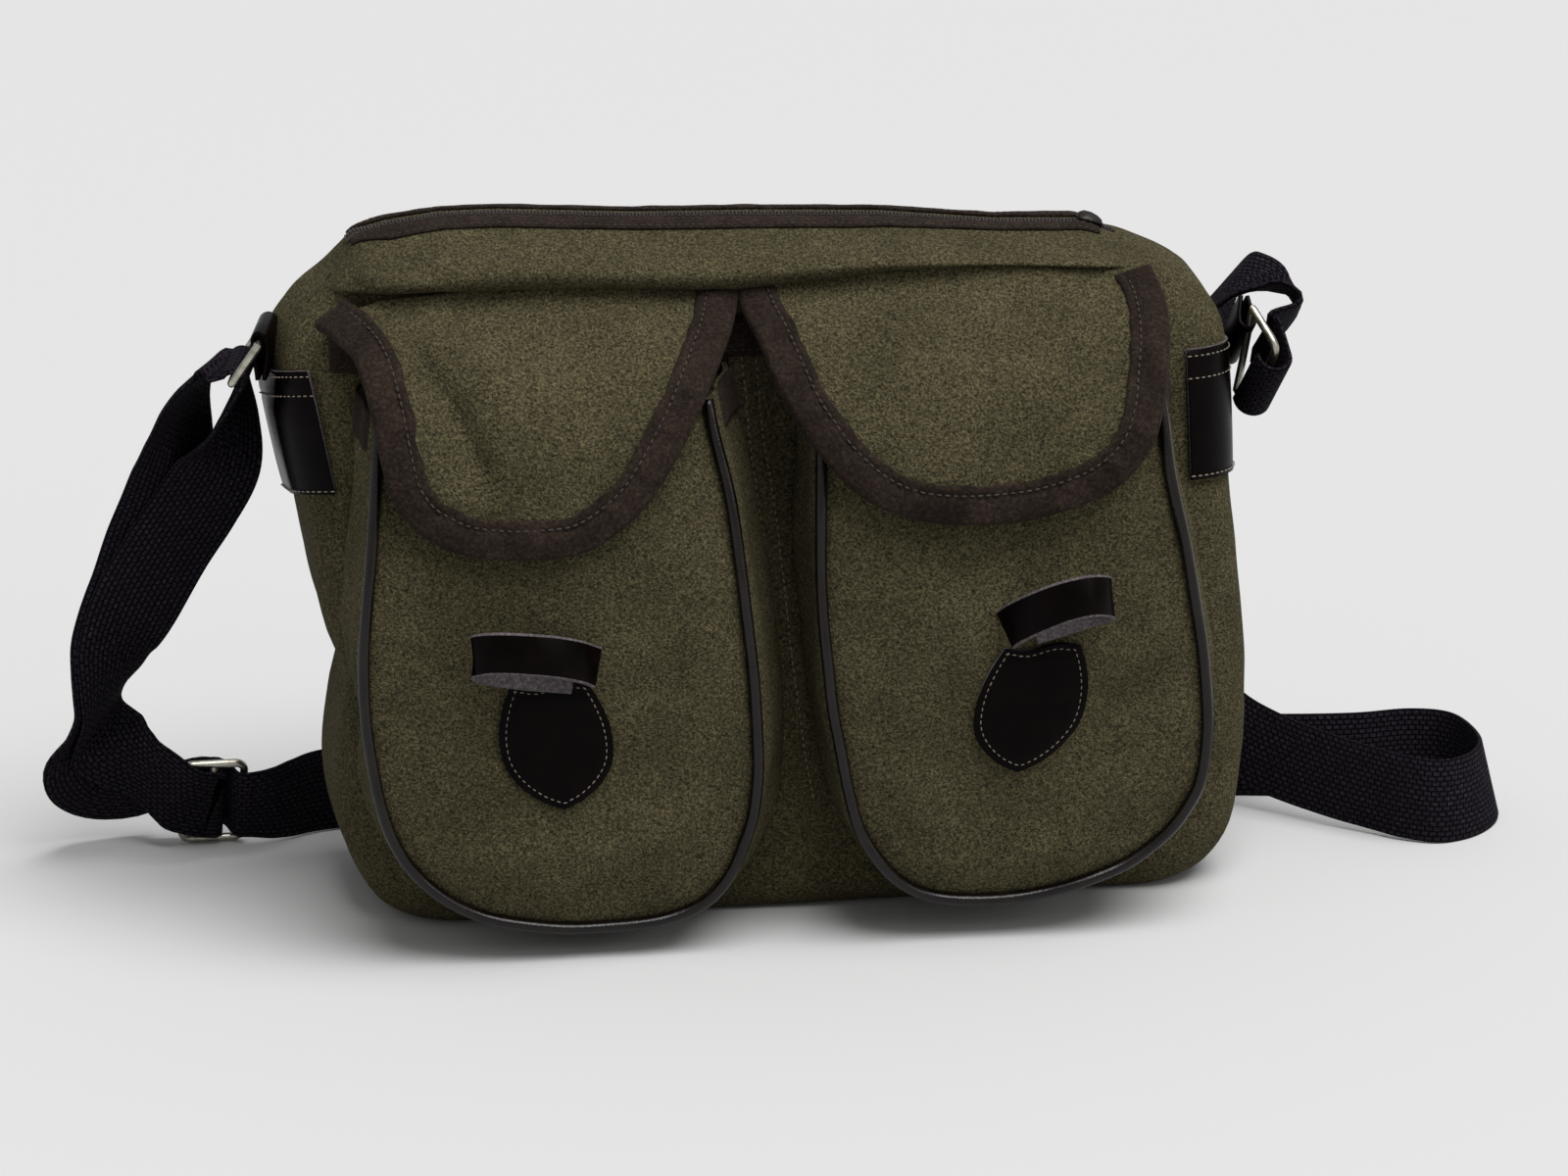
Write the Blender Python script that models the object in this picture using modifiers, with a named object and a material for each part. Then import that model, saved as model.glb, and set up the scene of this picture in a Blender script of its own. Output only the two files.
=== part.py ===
"""A hunting game bag of brushed wool felt, in metres, +Z up.

The bag stands on its flat bottom with its front towards -Y. It has a hollow body with a zip along the
top, two bellows pockets with piped edges and bound flaps, leather trim, and a webbing shoulder strap
that runs from the left ring, round behind the bag on the surface, to the right ring.
"""

import math

import bmesh
import bpy
import numpy as np
from mathutils import Vector

MM = 0.001

# Cloth, leather, webbing and wire, in mm
WOOL = 2.4
SUEDE = 1.2
LEATHER = 2.0
WEB_WIDTH = 38.0
WEB_THICK = 2.4
WIRE = 3.6
PIPING = 5.0
GAP = 0.4

# The body's outline at each height, in mm: how far it reaches left, right, to the front and to the back,
# and the radius of its upright corners. The left side is slumped in above the base.
BODY_COLUMNS = ("height", "left", "right", "front", "back", "corner")
BODY_ROWS = (
    (0.0, -147.0, 176.0, -40.0, 42.0, 24.0),
    (3.0, -157.0, 188.0, -46.0, 48.0, 26.0),
    (11.0, -166.0, 198.0, -50.0, 52.0, 27.0),
    (28.0, -175.0, 206.0, -51.0, 54.0, 27.0),
    (56.0, -180.0, 209.5, -51.0, 56.0, 27.0),
    (86.0, -177.0, 210.5, -50.0, 56.0, 26.0),
    (106.0, -173.5, 209.5, -49.0, 55.0, 26.0),
    (126.0, -181.0, 207.5, -48.5, 54.5, 26.0),
    (148.0, -185.5, 205.0, -48.0, 54.0, 25.0),
    (184.0, -191.0, 201.0, -46.5, 52.0, 25.0),
    (222.0, -196.0, 199.5, -44.5, 48.0, 25.0),
    (246.0, -194.0, 198.0, -43.0, 44.0, 25.0),
    (262.0, -184.5, 191.0, -41.5, 40.0, 26.0),
    (269.0, -178.0, 185.5, -40.0, 37.0, 26.0),
    (275.0, -173.0, 179.0, -40.5, 32.0, 24.0),
    (281.0, -169.0, 170.0, -34.0, 25.0, 20.0),
    (286.0, -166.0, 162.0, -20.0, 15.0, 12.0),
    (288.0, -164.5, 157.0, -5.0, 5.0, 4.5),
)
# How far the top stands up along its length: it is highest over the left pocket
RIDGE_COLUMNS = ("x", "lift")
RIDGE_ROWS = (
    (-190.0, -2.0),
    (-165.0, 4.0),
    (-150.0, 8.0),
    (-130.0, 10.5),
    (-105.0, 10.5),
    (-75.0, 8.5),
    (-48.0, 6.8),
    (0.0, 5.5),
    (55.0, 3.0),
    (105.0, -2.5),
    (141.0, -4.0),
    (155.0, -8.5),
    (190.0, -12.0),
)
RIDGE_FROM = 240.0
# Soft hollows pressed into the front (-1) and the back (+1)
DENT_COLUMNS = ("x", "z", "half_width", "half_height", "depth", "side")
DENT_ROWS = (
    (-152.0, 268.0, 24.0, 12.0, 6.0, -1),
    (-20.0, 281.0, 60.0, 8.0, 3.0, -1),
    (120.0, 283.0, 35.0, 7.0, 3.5, -1),
    (60.0, 150.0, 90.0, 60.0, 5.0, 1),
    (-90.0, 200.0, 70.0, 40.0, 4.0, 1),
    (0.0, 60.0, 120.0, 22.0, -3.0, 1),
)
FRONT_STEPS = 10
CORNER_STEPS = 4
SIDE_STEPS = 2

# Each pocket's front edge, from its mouth on the left, down and round to its mouth on the right
POCKET_EDGE = {
    "left": (
        (-164.3, 223.0), (-168.0, 184.0), (-170.5, 162.0), (-172.5, 139.7),
        (-172.5, 117.0), (-171.0, 100.0), (-167.4, 77.5), (-162.6, 60.5), (-154.4, 45.4),
        (-142.7, 33.3), (-128.0, 24.3), (-111.7, 19.6), (-88.9, 16.0), (-64.7, 16.2),
        (-46.8, 18.5), (-33.0, 24.5), (-24.2, 34.9), (-18.3, 48.3), (-14.7, 60.5),
        (-12.9, 77.0), (-12.8, 90.0), (-14.3, 121.0), (-17.9, 152.0), (-22.7, 195.0),
        (-28.8, 223.0),
    ),
    "right": (
        (19.5, 223.0), (19.3, 211.0), (18.4, 185.0), (18.4, 156.5), (19.5, 134.5),
        (22.3, 107.0), (25.5, 88.5), (29.2, 69.0), (33.8, 52.7), (42.4, 38.2),
        (51.7, 28.2), (65.0, 21.5), (86.2, 19.2), (108.4, 21.1), (130.3, 26.8),
        (147.0, 33.0), (163.0, 44.9), (171.4, 57.7), (175.6, 69.6), (177.3, 87.0),
        (177.0, 104.0), (174.7, 127.0), (171.9, 144.0), (168.0, 167.0), (164.3, 184.0),
        (161.0, 202.0), (158.9, 223.0),
    ),
}
# How far a pocket's seam on the body lies outside its front edge: on its left side and on its right side
POCKET_SPREAD = {"left": (5.0, 20.0), "right": (5.0, 12.0)}
# The seam stays this far inside the body's sides, and this far clear of its rounded corners
SEAM_INSIDE = 7.0
SEAM_ROOM = 2.4
# Towards the mouth the seam on the body stands higher than the front edge
MOUTH_RISE = 15.0
POCKET_BELLY = 4.0
POCKET_FLOOR = {"left": 3.2, "right": 5.5}
# The pocket's front panel from the side: its distance in front of the bag's middle at each height
POCKET_FRONT_COLUMNS = ("height", "y")
POCKET_FRONT_ROWS = (
    (0.0, -84.0),
    (14.0, -87.0),
    (40.0, -91.5),
    (90.0, -94.0),
    (140.0, -93.0),
    (190.0, -88.0),
    (225.0, -80.0),
    (240.0, -74.0),
)
POCKET_CROWN = 6.0
POCKET_MIDDLE = {"left": -92.0, "right": 98.0}
POCKET_HALF = 84.0
POCKET_STEPS = 30

# Each flap's edge, from its root on the left, down and round to its root on the right
FLAP_EDGE = {
    "left": (
        (-181.5, 270.0), (-173.7, 266.0), (-169.5, 257.5), (-167.2, 243.5), (-165.5, 234.0),
        (-163.2, 219.0), (-159.9, 207.0), (-154.2, 198.0), (-146.7, 191.5), (-135.5, 186.0),
        (-120.0, 183.2), (-99.0, 182.3), (-84.0, 184.5), (-70.0, 192.5), (-57.6, 204.2),
        (-43.5, 224.0), (-32.7, 241.0), (-24.5, 253.7), (-16.7, 265.0), (-12.8, 271.0),
    ),
    "right": (
        (-9.5, 272.0), (-7.7, 266.0), (-4.2, 259.0), (1.8, 243.7), (7.2, 231.7),
        (16.1, 218.6), (26.2, 206.7), (38.9, 197.0), (57.0, 190.3), (80.6, 188.0),
        (101.0, 188.9), (121.2, 193.5), (137.6, 201.0), (150.5, 213.5), (156.5, 226.5),
        (160.0, 240.0), (163.0, 251.0), (164.3, 260.0), (164.0, 267.5), (161.0, 275.0),
    ),
}
# A flap from the side: it leaves the body, comes forward over the pocket's mouth and lies down its front
FLAP_COLUMNS = ("height", "y", "crown")
FLAP_ROWS = (
    (160.0, -101.5, 1.0),
    (185.0, -100.0, 1.0),
    (205.0, -97.5, 1.0),
    (225.0, -92.0, 0.9),
    (240.0, -84.5, 0.7),
    (252.0, -74.5, 0.45),
    (262.0, -62.0, 0.2),
    (270.0, -45.0, 0.0),
)
FLAP_STEPS = 26
BINDING_WIDTH = 13.0
BINDING_ROOM = 1.15

# The suede strip across the front under the flaps, where the pockets' tops are sewn down
STRIP_LEFT = -179.0
STRIP_RIGHT = 176.0
STRIP_LOW = 244.5
STRIP_HIGH = 261.0

# The shield-shaped leather patch on each pocket: half its outline as shares of its half-width and height
PATCH_COLUMNS = ("across", "up")
PATCH_ROWS = (
    (0.68, 1.00), (0.84, 0.86), (0.97, 0.68), (1.00, 0.50), (0.93, 0.34), (0.70, 0.19), (0.36, 0.07), (0.0, 0.0),
)
PATCH_HALF_WIDTH = 23.5
PATCH_HEIGHT = 55.0
PATCH_TIP = {"left": (-92.9, 70.0, -6.0), "right": (97.6, 76.0, 10.0)}

# The leather closing strip of each pocket, bent into a loop: x, y and height of its middle line, and
# how its width leans to the right and to the front for each 1 that it rises
STRIP_COLUMNS = ("x", "y", "z", "lean_x", "lean_y")
STRIP_ROWS = {
    "left": (
        (-79.5, -107.8, 132.5, -0.10, 0.10),
        (-87.0, -114.5, 137.5, -0.15, 0.15),
        (-97.0, -119.5, 141.5, -0.12, 0.20),
        (-108.0, -122.0, 144.0, -0.08, 0.20),
        (-119.0, -121.5, 145.0, 0.0, 0.20),
        (-127.5, -118.0, 144.0, 0.0, 0.20),
        (-130.5, -113.0, 141.0, 0.0, 0.20),
        (-124.5, -108.6, 136.5, -0.05, 0.10),
        (-109.0, -107.6, 133.0, -0.10, 0.05),
        (-96.0, -107.2, 131.0, -0.10, 0.0),
        (-89.0, -106.8, 130.0, -0.10, 0.0),
    ),
    "right": (
        (91.5, -107.6, 140.0, -0.05, 0.0),
        (95.0, -113.5, 145.0, -0.10, 0.15),
        (102.0, -120.5, 151.0, -0.15, 0.25),
        (112.0, -124.0, 156.0, -0.15, 0.25),
        (123.0, -123.5, 158.0, -0.10, 0.25),
        (131.5, -118.5, 156.0, -0.05, 0.25),
        (134.0, -112.5, 152.5, -0.05, 0.20),
        (129.0, -107.6, 149.0, -0.10, 0.10),
        (117.5, -106.4, 145.0, -0.15, 0.05),
        (103.0, -106.2, 141.0, -0.15, 0.0),
    ),
}
STRIP_WIDTH = 17.5

# The leather wraps round the two sides, at the middle of the side. They sink towards the back, and
# their front ends are given low and high
TAB_LOW = {"left": 181.0, "right": 177.5}
TAB_HIGH = {"left": 234.0, "right": 234.0}
TAB_SINK = {"left": 0.26, "right": 0.10}
TAB_FRONT = {"left": (-178.5, -187.0), "right": (181.0, 179.0)}
TAB_CLEAR = 1.0

# The zip in the top: a tape with its chain, a suede facing on each side, and the slider at the right end
ZIP_SECTION = ((-3.9, -1.0), (3.9, -1.0), (3.9, 0.2), (2.6, 0.2), (2.6, 1.5), (-2.6, 1.5), (-2.6, 0.2), (-3.9, 0.2))
ZIP_LEFT = -159.5
ZIP_RIGHT = 151.5
ZIP_SINK = 1.4
FACING_WIDTH = 10.5
FACING_LEFT = -157.0
FACING_RIGHT = 148.0
ZIP_STEPS = 19
SLIDER_LENGTH = 11.0
SLIDER_WIDTH = 8.0
SLIDER_HEIGHT = 4.0

# The rings: the middle of the bar in its leather tab, the way along the bar, and the way the ring hangs
RING_WIDTH = 48.0
RING_DROP = 21.0
RING_SQUARE = 10.0
RING_POINTS = 20
RING_PLACE = {
    "left": {"bar": (-204.0, -4.0, 252.5), "along": (-0.22, -0.975, 0.0), "hang": (-0.55, 0.12, -0.83)},
    "right": {"bar": (211.0, 2.0, 228.5), "along": (0.115, -0.68, 0.73), "hang": (0.38, -0.64, -0.66)},
}
# The way the leather tab runs from the bar to the body, and how far, and how loosely the strap bends
# round the ring
RING_TAB_WAY = {"left": (0.0, 0.0, -1.0), "right": (0.04, 0.68, 0.66)}
RING_TAB_LEG = {"left": 17.0, "right": 12.0}
RING_BEND = {"left": 4.5, "right": 7.0}
RING_TAB_WIDTH = 31.0

# The strap's two layers between the left ring and its buckle: the line between them, the way their width
# points, how far the front and the back layer stand off that line, and how far the back one is let down
DOUBLED_COLUMNS = ("x", "y", "z", "wx", "wy", "wz", "front", "back", "down")
DOUBLED_ROWS = (
    (-219.4, 3.0, 223.0, 0.32, 0.93, -0.15, 2.6, 2.6, 6.0),
    (-220.0, 11.0, 206.0, 0.55, 0.75, -0.35, 1.8, 1.6, 6.0),
    (-223.5, 19.5, 186.0, 0.76, 0.30, -0.58, 1.6, 1.6, 6.0),
    (-232.5, 27.5, 167.0, 0.80, 0.15, -0.58, 1.6, 1.6, 6.0),
    (-244.0, 36.0, 146.0, 0.85, 0.10, -0.50, 1.6, 1.6, 6.0),
    (-255.5, 45.0, 122.0, 0.87, 0.05, -0.48, 1.6, 1.6, 3.0),
    (-264.5, 51.0, 101.0, 0.80, 0.40, -0.42, 1.6, 1.6, 2.0),
    (-268.0, 54.5, 87.0, 0.68, 0.68, -0.22, 1.6, 1.6, 2.0),
    (-271.5, 58.5, 73.0, 0.52, 0.84, 0.12, 1.6, 1.6, 2.0),
    (-273.0, 62.0, 62.0, 0.52, 0.60, 0.60, 1.6, 1.6, 4.0),
    (-270.0, 64.5, 53.5, 0.34, 0.15, 0.93, 1.6, 1.6, 13.0),
    (-264.0, 65.0, 47.5, 0.10, -0.15, 0.98, 1.6, 1.6, 20.0),
    (-256.5, 64.0, 42.5, -0.02, -0.32, 0.95, 1.6, 1.6, 21.0),
    (-248.0, 61.8, 37.0, -0.08, -0.40, 0.91, 1.6, 3.6, 18.0),
    (-238.0, 61.5, 28.5, -0.06, -0.42, 0.905, 2.8, 7.2, 9.0),
    (-232.0, 63.2, 24.2, -0.05, -0.42, 0.905, 2.2, 8.2, 2.0),
    (-227.0, 64.0, 22.4, 0.0, -0.42, 0.907, 1.6, 8.4, 0.6),
)
# The outer layer's own line from the left ring to where it meets the inner one, in the same terms
OUTER_ROWS = (
    (-224.5, 2.5, 237.5, 0.22, 0.97, -0.05),
    (-231.5, 7.0, 231.0, 0.35, 0.93, -0.10),
    (-236.5, 12.0, 219.0, 0.50, 0.84, -0.20),
    (-239.0, 17.0, 204.0, 0.62, 0.68, -0.38),
    (-241.0, 23.0, 187.0, 0.72, 0.45, -0.53),
    (-244.5, 30.5, 168.0, 0.80, 0.20, -0.56),
    (-251.0, 40.5, 147.0, 0.85, 0.10, -0.50),
)
OUTER_UNTIL = 128.0
# The single layer from the buckle behind the bag to the right ring, in the same terms
SINGLE_COLUMNS = ("x", "y", "z", "wx", "wy", "wz")
SINGLE_ROWS = (
    (-221.5, 72.1, 24.8, 0.0, -0.42, 0.907),
    (-217.0, 69.8, 23.7, 0.0, -0.42, 0.907),
    (-214.6, 65.0, 21.5, 0.0, -0.42, 0.907),
    (-212.4, 62.7, 20.6, 0.0, -0.42, 0.907),
    (-208.0, 62.5, 20.5, 0.0, -0.42, 0.907),
    (-200.0, 64.5, 20.4, 0.0, -0.36, 0.93),
    (-190.0, 70.0, 20.0, 0.0, -0.20, 0.98),
    (-172.0, 81.0, 19.4, 0.0, -0.05, 1.0),
    (-130.0, 88.0, 19.0, 0.0, 0.0, 1.0),
    (-60.0, 87.0, 19.0, 0.0, 0.0, 1.0),
    (20.0, 84.0, 19.0, 0.0, 0.0, 1.0),
    (100.0, 82.0, 19.0, 0.0, 0.0, 1.0),
    (160.0, 77.0, 19.0, 0.0, 0.0, 1.0),
    (205.0, 70.0, 19.0, 0.0, 0.0, 1.0),
    (245.0, 62.0, 19.0, 0.0, 0.0, 1.0),
    (278.0, 58.5, 19.0, 0.0, 0.0, 1.0),
    (303.0, 60.5, 19.0, -0.05, 0.0, 1.0),
    (321.0, 54.0, 19.0, -0.15, 0.0, 0.99),
    (329.5, 36.0, 18.8, -0.25, 0.0, 0.97),
    (328.0, 15.0, 18.8, -0.22, 0.0, 0.98),
    (317.0, -2.5, 18.9, -0.12, 0.0, 0.99),
    (301.5, -10.0, 19.3, -0.05, 0.0, 1.0),
    (287.0, -4.0, 20.0, 0.0, 0.0, 1.0),
    (275.0, 6.5, 21.0, 0.0, 0.0, 1.0),
    (259.0, 20.0, 23.0, 0.03, 0.0, 1.0),
    (238.0, 38.0, 27.5, 0.1, 0.0, 1.0),
    (218.0, 54.0, 36.0, 0.25, 0.0, 0.97),
    (202.0, 64.0, 52.0, 0.5, 0.0, 0.86),
    (193.0, 67.0, 78.0, 0.85, 0.0, 0.5),
    (189.0, 68.0, 112.0, 1.0, 0.0, 0.1),
    (189.0, 68.0, 150.0, 1.0, 0.0, 0.0),
    (192.0, 67.0, 184.0, 1.0, 0.15, 0.0),
    (202.5, 67.5, 205.0, 0.90, 0.42, 0.0),
    (211.0, 62.0, 224.5, 0.72, 0.69, 0.0),
    (213.5, 50.5, 236.5, 0.40, 0.92, 0.0),
    (217.0, 36.0, 243.0, 0.10, 0.99, 0.05),
    (225.0, 23.0, 246.0, 0.00, 1.0, 0.00),
    (235.0, 13.5, 244.0, 0.10, 0.96, -0.25),
    (237.0, 8.0, 237.5, 0.10, 0.88, -0.47),
)
STRAP_STEP = 4.5
STRAP_TURN = 9.0
STRAP_REACH = 34.0
HOOK_STEPS = 6
TAIL = 7.5

# The strap's buckle: a wire frame with a bar, which stands on its lower rail and leans to the front
BUCKLE_FOOT = (-223.5, 75.2, 2.0)
BUCKLE_UP = (0.0, -0.42, 0.907)
BUCKLE_HALF = 13.0
BUCKLE_TALL = 44.0
BUCKLE_NEAR = 15.0


def columns(names, rows):
    """Each named column of a table as an array."""
    return dict(zip(names, np.array(rows, float).T))


BODY = columns(BODY_COLUMNS, BODY_ROWS)
RIDGE = columns(RIDGE_COLUMNS, RIDGE_ROWS)
POCKET_FRONT = columns(POCKET_FRONT_COLUMNS, POCKET_FRONT_ROWS)
FLAP = columns(FLAP_COLUMNS, FLAP_ROWS)


def clear_scene():
    for thing in list(bpy.data.objects):
        bpy.data.objects.remove(thing, do_unlink=True)


def make_material(name, colour, roughness, metallic=0.0):
    material = bpy.data.materials.new(name)
    material.use_nodes = True
    shader = material.node_tree.nodes["Principled BSDF"]
    shader.inputs["Base Color"].default_value = (*colour, 1.0)
    shader.inputs["Roughness"].default_value = roughness
    shader.inputs["Metallic"].default_value = metallic
    material.diffuse_color = (*colour, 1.0)
    return material


def add_object(name, points, faces, material):
    """A mesh object from points in mm."""
    mesh = bpy.data.meshes.new(name)
    mesh.from_pydata([tuple(c * MM for c in point) for point in points], [], faces)
    mesh.materials.append(material)
    mesh.shade_smooth()
    mesh.set_sharp_from_angle(angle=math.radians(40))
    thing = bpy.data.objects.new(name, mesh)
    bag.objects.link(thing)
    return thing


def thicken(thing, thickness, inward=True):
    """Turns an open surface into a wall."""
    wall = thing.modifiers.new("Wall", "SOLIDIFY")
    wall.thickness = thickness * MM
    wall.offset = -1.0 if inward else 1.0
    wall.use_even_offset = True
    wall.use_rim = True


def smooth_line(rows, count):
    """A smooth curve through the rows, read at count points of equal spacing."""
    rows = np.array(rows, float)
    ends = np.concatenate([[2 * rows[0] - rows[1]], rows, [2 * rows[-1] - rows[-2]]])
    fine = []
    for i in range(1, len(ends) - 2):
        before, start, end, after = ends[i - 1 : i + 3]
        for t in np.linspace(0, 1, 12, endpoint=False):
            fine.append(
                0.5
                * (
                    2 * start
                    + (end - before) * t
                    + (2 * before - 5 * start + 4 * end - after) * t**2
                    + (3 * start - before - 3 * end + after) * t**3
                )
            )
    fine = np.array(fine + [rows[-1]])
    reach = min(3, rows.shape[1])
    along = np.concatenate([[0], np.cumsum(np.linalg.norm(np.diff(fine[:, :reach], axis=0), axis=1))])
    wanted = np.linspace(0, along[-1], count)
    return np.stack([np.interp(wanted, along, fine[:, k]) for k in range(rows.shape[1])], axis=1)


def body_at(height):
    """The body's outline at a height."""
    return {name: float(np.interp(height, BODY["height"], BODY[name])) for name in BODY_COLUMNS[1:]}


def body_front(x, height):
    """How far forward the body reaches at a place on its front."""
    row = body_at(height)
    radius = row["corner"]
    past = max(row["left"] + radius - x, x - (row["right"] - radius), 0.0)
    return row["front"] + radius - math.sqrt(max(radius**2 - past**2, 0.0))


def corner_share(x, height):
    """How near a place on the body's front is to its rounded sides or bottom, from 0.3 to 1."""
    row = body_at(height)
    side = min(x - row["left"], row["right"] - x)
    return max(0.3, 1 - side / row["corner"], 1 - height / 30.0)


def body_ring(row):
    """A rounded rectangle of points, anticlockwise from the front's left end."""
    left, right, front, back, radius = (row[name] for name in BODY_COLUMNS[1:])
    corners = (
        (left + radius, front + radius, 180),
        (right - radius, front + radius, 270),
        (right - radius, back - radius, 0),
        (left + radius, back - radius, 90),
    )
    steps = (FRONT_STEPS, SIDE_STEPS, FRONT_STEPS, SIDE_STEPS)
    ring = []
    for k, (x, y, start) in enumerate(corners):
        for turn in np.linspace(0, 90, CORNER_STEPS + 1):
            angle = math.radians(start + turn)
            ring.append((x + radius * math.cos(angle), y + radius * math.sin(angle)))
        after_x, after_y, after_start = corners[(k + 1) % 4]
        angle = math.radians(after_start)
        next_point = (after_x + radius * math.cos(angle), after_y + radius * math.sin(angle))
        last = ring[-1]
        for t in np.linspace(0, 1, steps[k] + 1)[1:-1]:
            ring.append((last[0] + (next_point[0] - last[0]) * t, last[1] + (next_point[1] - last[1]) * t))
    return ring


def lifted(x, height):
    """The height with the top's rise added."""
    share = max(0.0, (height - RIDGE_FROM) / (BODY["height"][-1] - RIDGE_FROM))
    return height + share**1.5 * float(np.interp(x, RIDGE["x"], RIDGE["lift"]))


def dented(x, y, height):
    """The point's y after the soft hollows are pressed in."""
    for dent_x, dent_z, half_width, half_height, depth, side in DENT_ROWS:
        if y * side > 12:
            far = ((x - dent_x) / half_width) ** 2 + ((height - dent_z) / half_height) ** 2
            y -= side * depth * math.exp(-far)
    return y


def build_body():
    """The wool body: one lofted shell, closed below and open along the zip."""
    points, faces = [], []
    around = 0
    for k, height in enumerate(BODY["height"]):
        ring = body_ring(body_at(height))
        around = len(ring)
        for x, y in ring:
            points.append((x, dented(x, y, height), lifted(x, height)))
        if k:
            for i in range(around):
                j = (i + 1) % around
                a, b = (k - 1) * around, k * around
                faces.append((a + i, a + j, b + j, b + i))
    # The base is filled by a smaller ring and one flat face inside it
    middle = np.mean(points[:around], axis=0)
    start = len(points)
    for i in range(around):
        x, y, z = points[i]
        points.append((middle[0] + (x - middle[0]) * 0.9, middle[1] + (y - middle[1]) * 0.75, z))
    for i in range(around):
        j = (i + 1) % around
        faces.append((start + i, start + j, j, i))
    faces.append(tuple(start + i for i in reversed(range(around))))
    thicken(add_object("body_shell", points, faces, wool), WOOL)


def pocket_front(side, x, height, share=1.0):
    """How far forward a pocket's front panel reaches."""
    across = (x - POCKET_MIDDLE[side]) / POCKET_HALF
    crown = POCKET_CROWN * max(0.0, 1 - across**2)
    return float(np.interp(height, POCKET_FRONT["height"], POCKET_FRONT["y"])) - crown * share


def pocket_seam(side, x, height):
    """Where a point of the pocket's front edge meets the body."""
    left, right = POCKET_SPREAD[side]
    middle = POCKET_MIDDLE[side]
    share = min(1.0, abs(x - middle) / POCKET_HALF)
    out_x = x + (right if x > middle else -left) * share
    out_z = max(POCKET_FLOOR[side] + 3.0, height - 10.0 * max(0.0, 1 - height / 70.0))
    out_z += MOUTH_RISE * max(0.0, (height - 190.0) / 33.0)
    row = body_at(out_z)
    return min(max(out_x, row["left"] + SEAM_INSIDE), row["right"] - SEAM_INSIDE), out_z


def shrunk(edge, middle, share, above):
    """A U-shaped edge drawn in towards an upright line in its middle, which ends above its lowest point."""
    heights = (edge[:, 1] + edge[::-1, 1]) / 2
    axis = np.maximum(heights, edge[:, 1].min() + above)
    return np.stack([edge[:, 0] + (middle - edge[:, 0]) * share, edge[:, 1] + (axis - edge[:, 1]) * share], axis=1)


def build_pocket(side):
    """A bellows pocket: a gusset from the body to the front edge, and a crowned front panel."""
    edge = smooth_line(POCKET_EDGE[side], POCKET_STEPS + 1)
    middle = POCKET_MIDDLE[side]
    rows = []
    for depth in (0.0, 0.35, 0.75, 1.0):
        row = []
        for x, z in edge:
            back_x, back_z = pocket_seam(side, x, z)
            back_y = body_front(back_x, back_z) - GAP - SEAM_ROOM * corner_share(back_x, back_z)
            belly = POCKET_BELLY * math.sin(math.pi * depth)
            out = Vector((x - middle, 0.0, min(0.0, z - 90.0)))
            out.normalize()
            px = back_x + (x - back_x) * depth + out.x * belly
            pz = back_z + (z - back_z) * depth + out.z * belly
            py = back_y + (pocket_front(side, x, z) - back_y) * depth
            row.append((px, py, max(pz, POCKET_FLOOR[side])))
        rows.append(row)
    for shrink in (0.12, 0.4, 0.7, 1.0):
        swell = 2.0 * min(1.0, shrink / 0.4)
        inside = shrunk(edge, middle, shrink, 68.0)
        rows.append([(x, pocket_front(side, x, z) - swell, z) for x, z in inside])
    grid_object(f"pocket_{side}", rows, wool, WOOL)


def grid_object(name, rows, material, thickness, flip=False):
    """An open surface of rows of points, thickened into a wall."""
    points, faces = [], []
    count = len(rows[0])
    for row in rows:
        points.extend(row)
    for k in range(len(rows) - 1):
        for i in range(count - 1):
            a, b = k * count + i, (k + 1) * count + i
            face = (a, a + 1, b + 1, b)
            faces.append(face[::-1] if flip else face)
    thing = add_object(name, points, faces, material)
    mesh = thing.data
    weld(mesh)
    thicken(thing, thickness)
    return thing


def weld(mesh):
    """Joins points that lie on each other, as down the middle of a panel."""
    work = bmesh.new()
    work.from_mesh(mesh)
    bmesh.ops.remove_doubles(work, verts=work.verts, dist=1e-5)
    work.to_mesh(mesh)
    work.free()


def sweep(name, stations, section, material):
    """A closed solid: the section is carried along stations of (middle, across, out)."""
    points, faces = [], []
    count = len(section)
    for middle, across, out in stations:
        for a, n in section:
            points.append(tuple(Vector(middle) + Vector(across) * a + Vector(out) * n))
    for k in range(len(stations) - 1):
        for i in range(count):
            j = (i + 1) % count
            a, b = k * count, (k + 1) * count
            faces.append((a + i, a + j, b + j, b + i))
    faces.append(tuple(reversed(range(count))))
    faces.append(tuple((len(stations) - 1) * count + i for i in range(count)))
    return add_object(name, points, faces, material)


def band_stations(rows):
    """Stations of a flat band from rows of x, y, z and the way its width points."""
    rows = np.array(rows, float)
    way = np.gradient(rows[:, :3], axis=0)
    stations = []
    for point, forward, width in zip(rows[:, :3], way, rows[:, 3:6]):
        forward = Vector(forward).normalized()
        across = Vector(width)
        across = (across - forward * across.dot(forward)).normalized()
        stations.append((point, across, forward.cross(across)))
    return stations


def band_section(width, thickness):
    """A rectangle whose sides run the right way round for sweep."""
    w, t = width / 2, thickness / 2
    return ((-w, -t), (w, -t), (w, t), (-w, t))


def tube(name, points, diameter, material, cyclic=False):
    """A round wire or cord as a curve with filled ends."""
    curve = bpy.data.curves.new(name, "CURVE")
    curve.dimensions = "3D"
    curve.bevel_depth = diameter / 2 * MM
    curve.bevel_resolution = 1
    curve.use_fill_caps = True
    spline = curve.splines.new("POLY")
    spline.points.add(len(points) - 1)
    for place, point in zip(spline.points, points):
        place.co = (*(c * MM for c in point), 1.0)
    spline.use_cyclic_u = cyclic
    curve.materials.append(material)
    thing = bpy.data.objects.new(name, curve)
    bag.objects.link(thing)
    return thing


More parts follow.
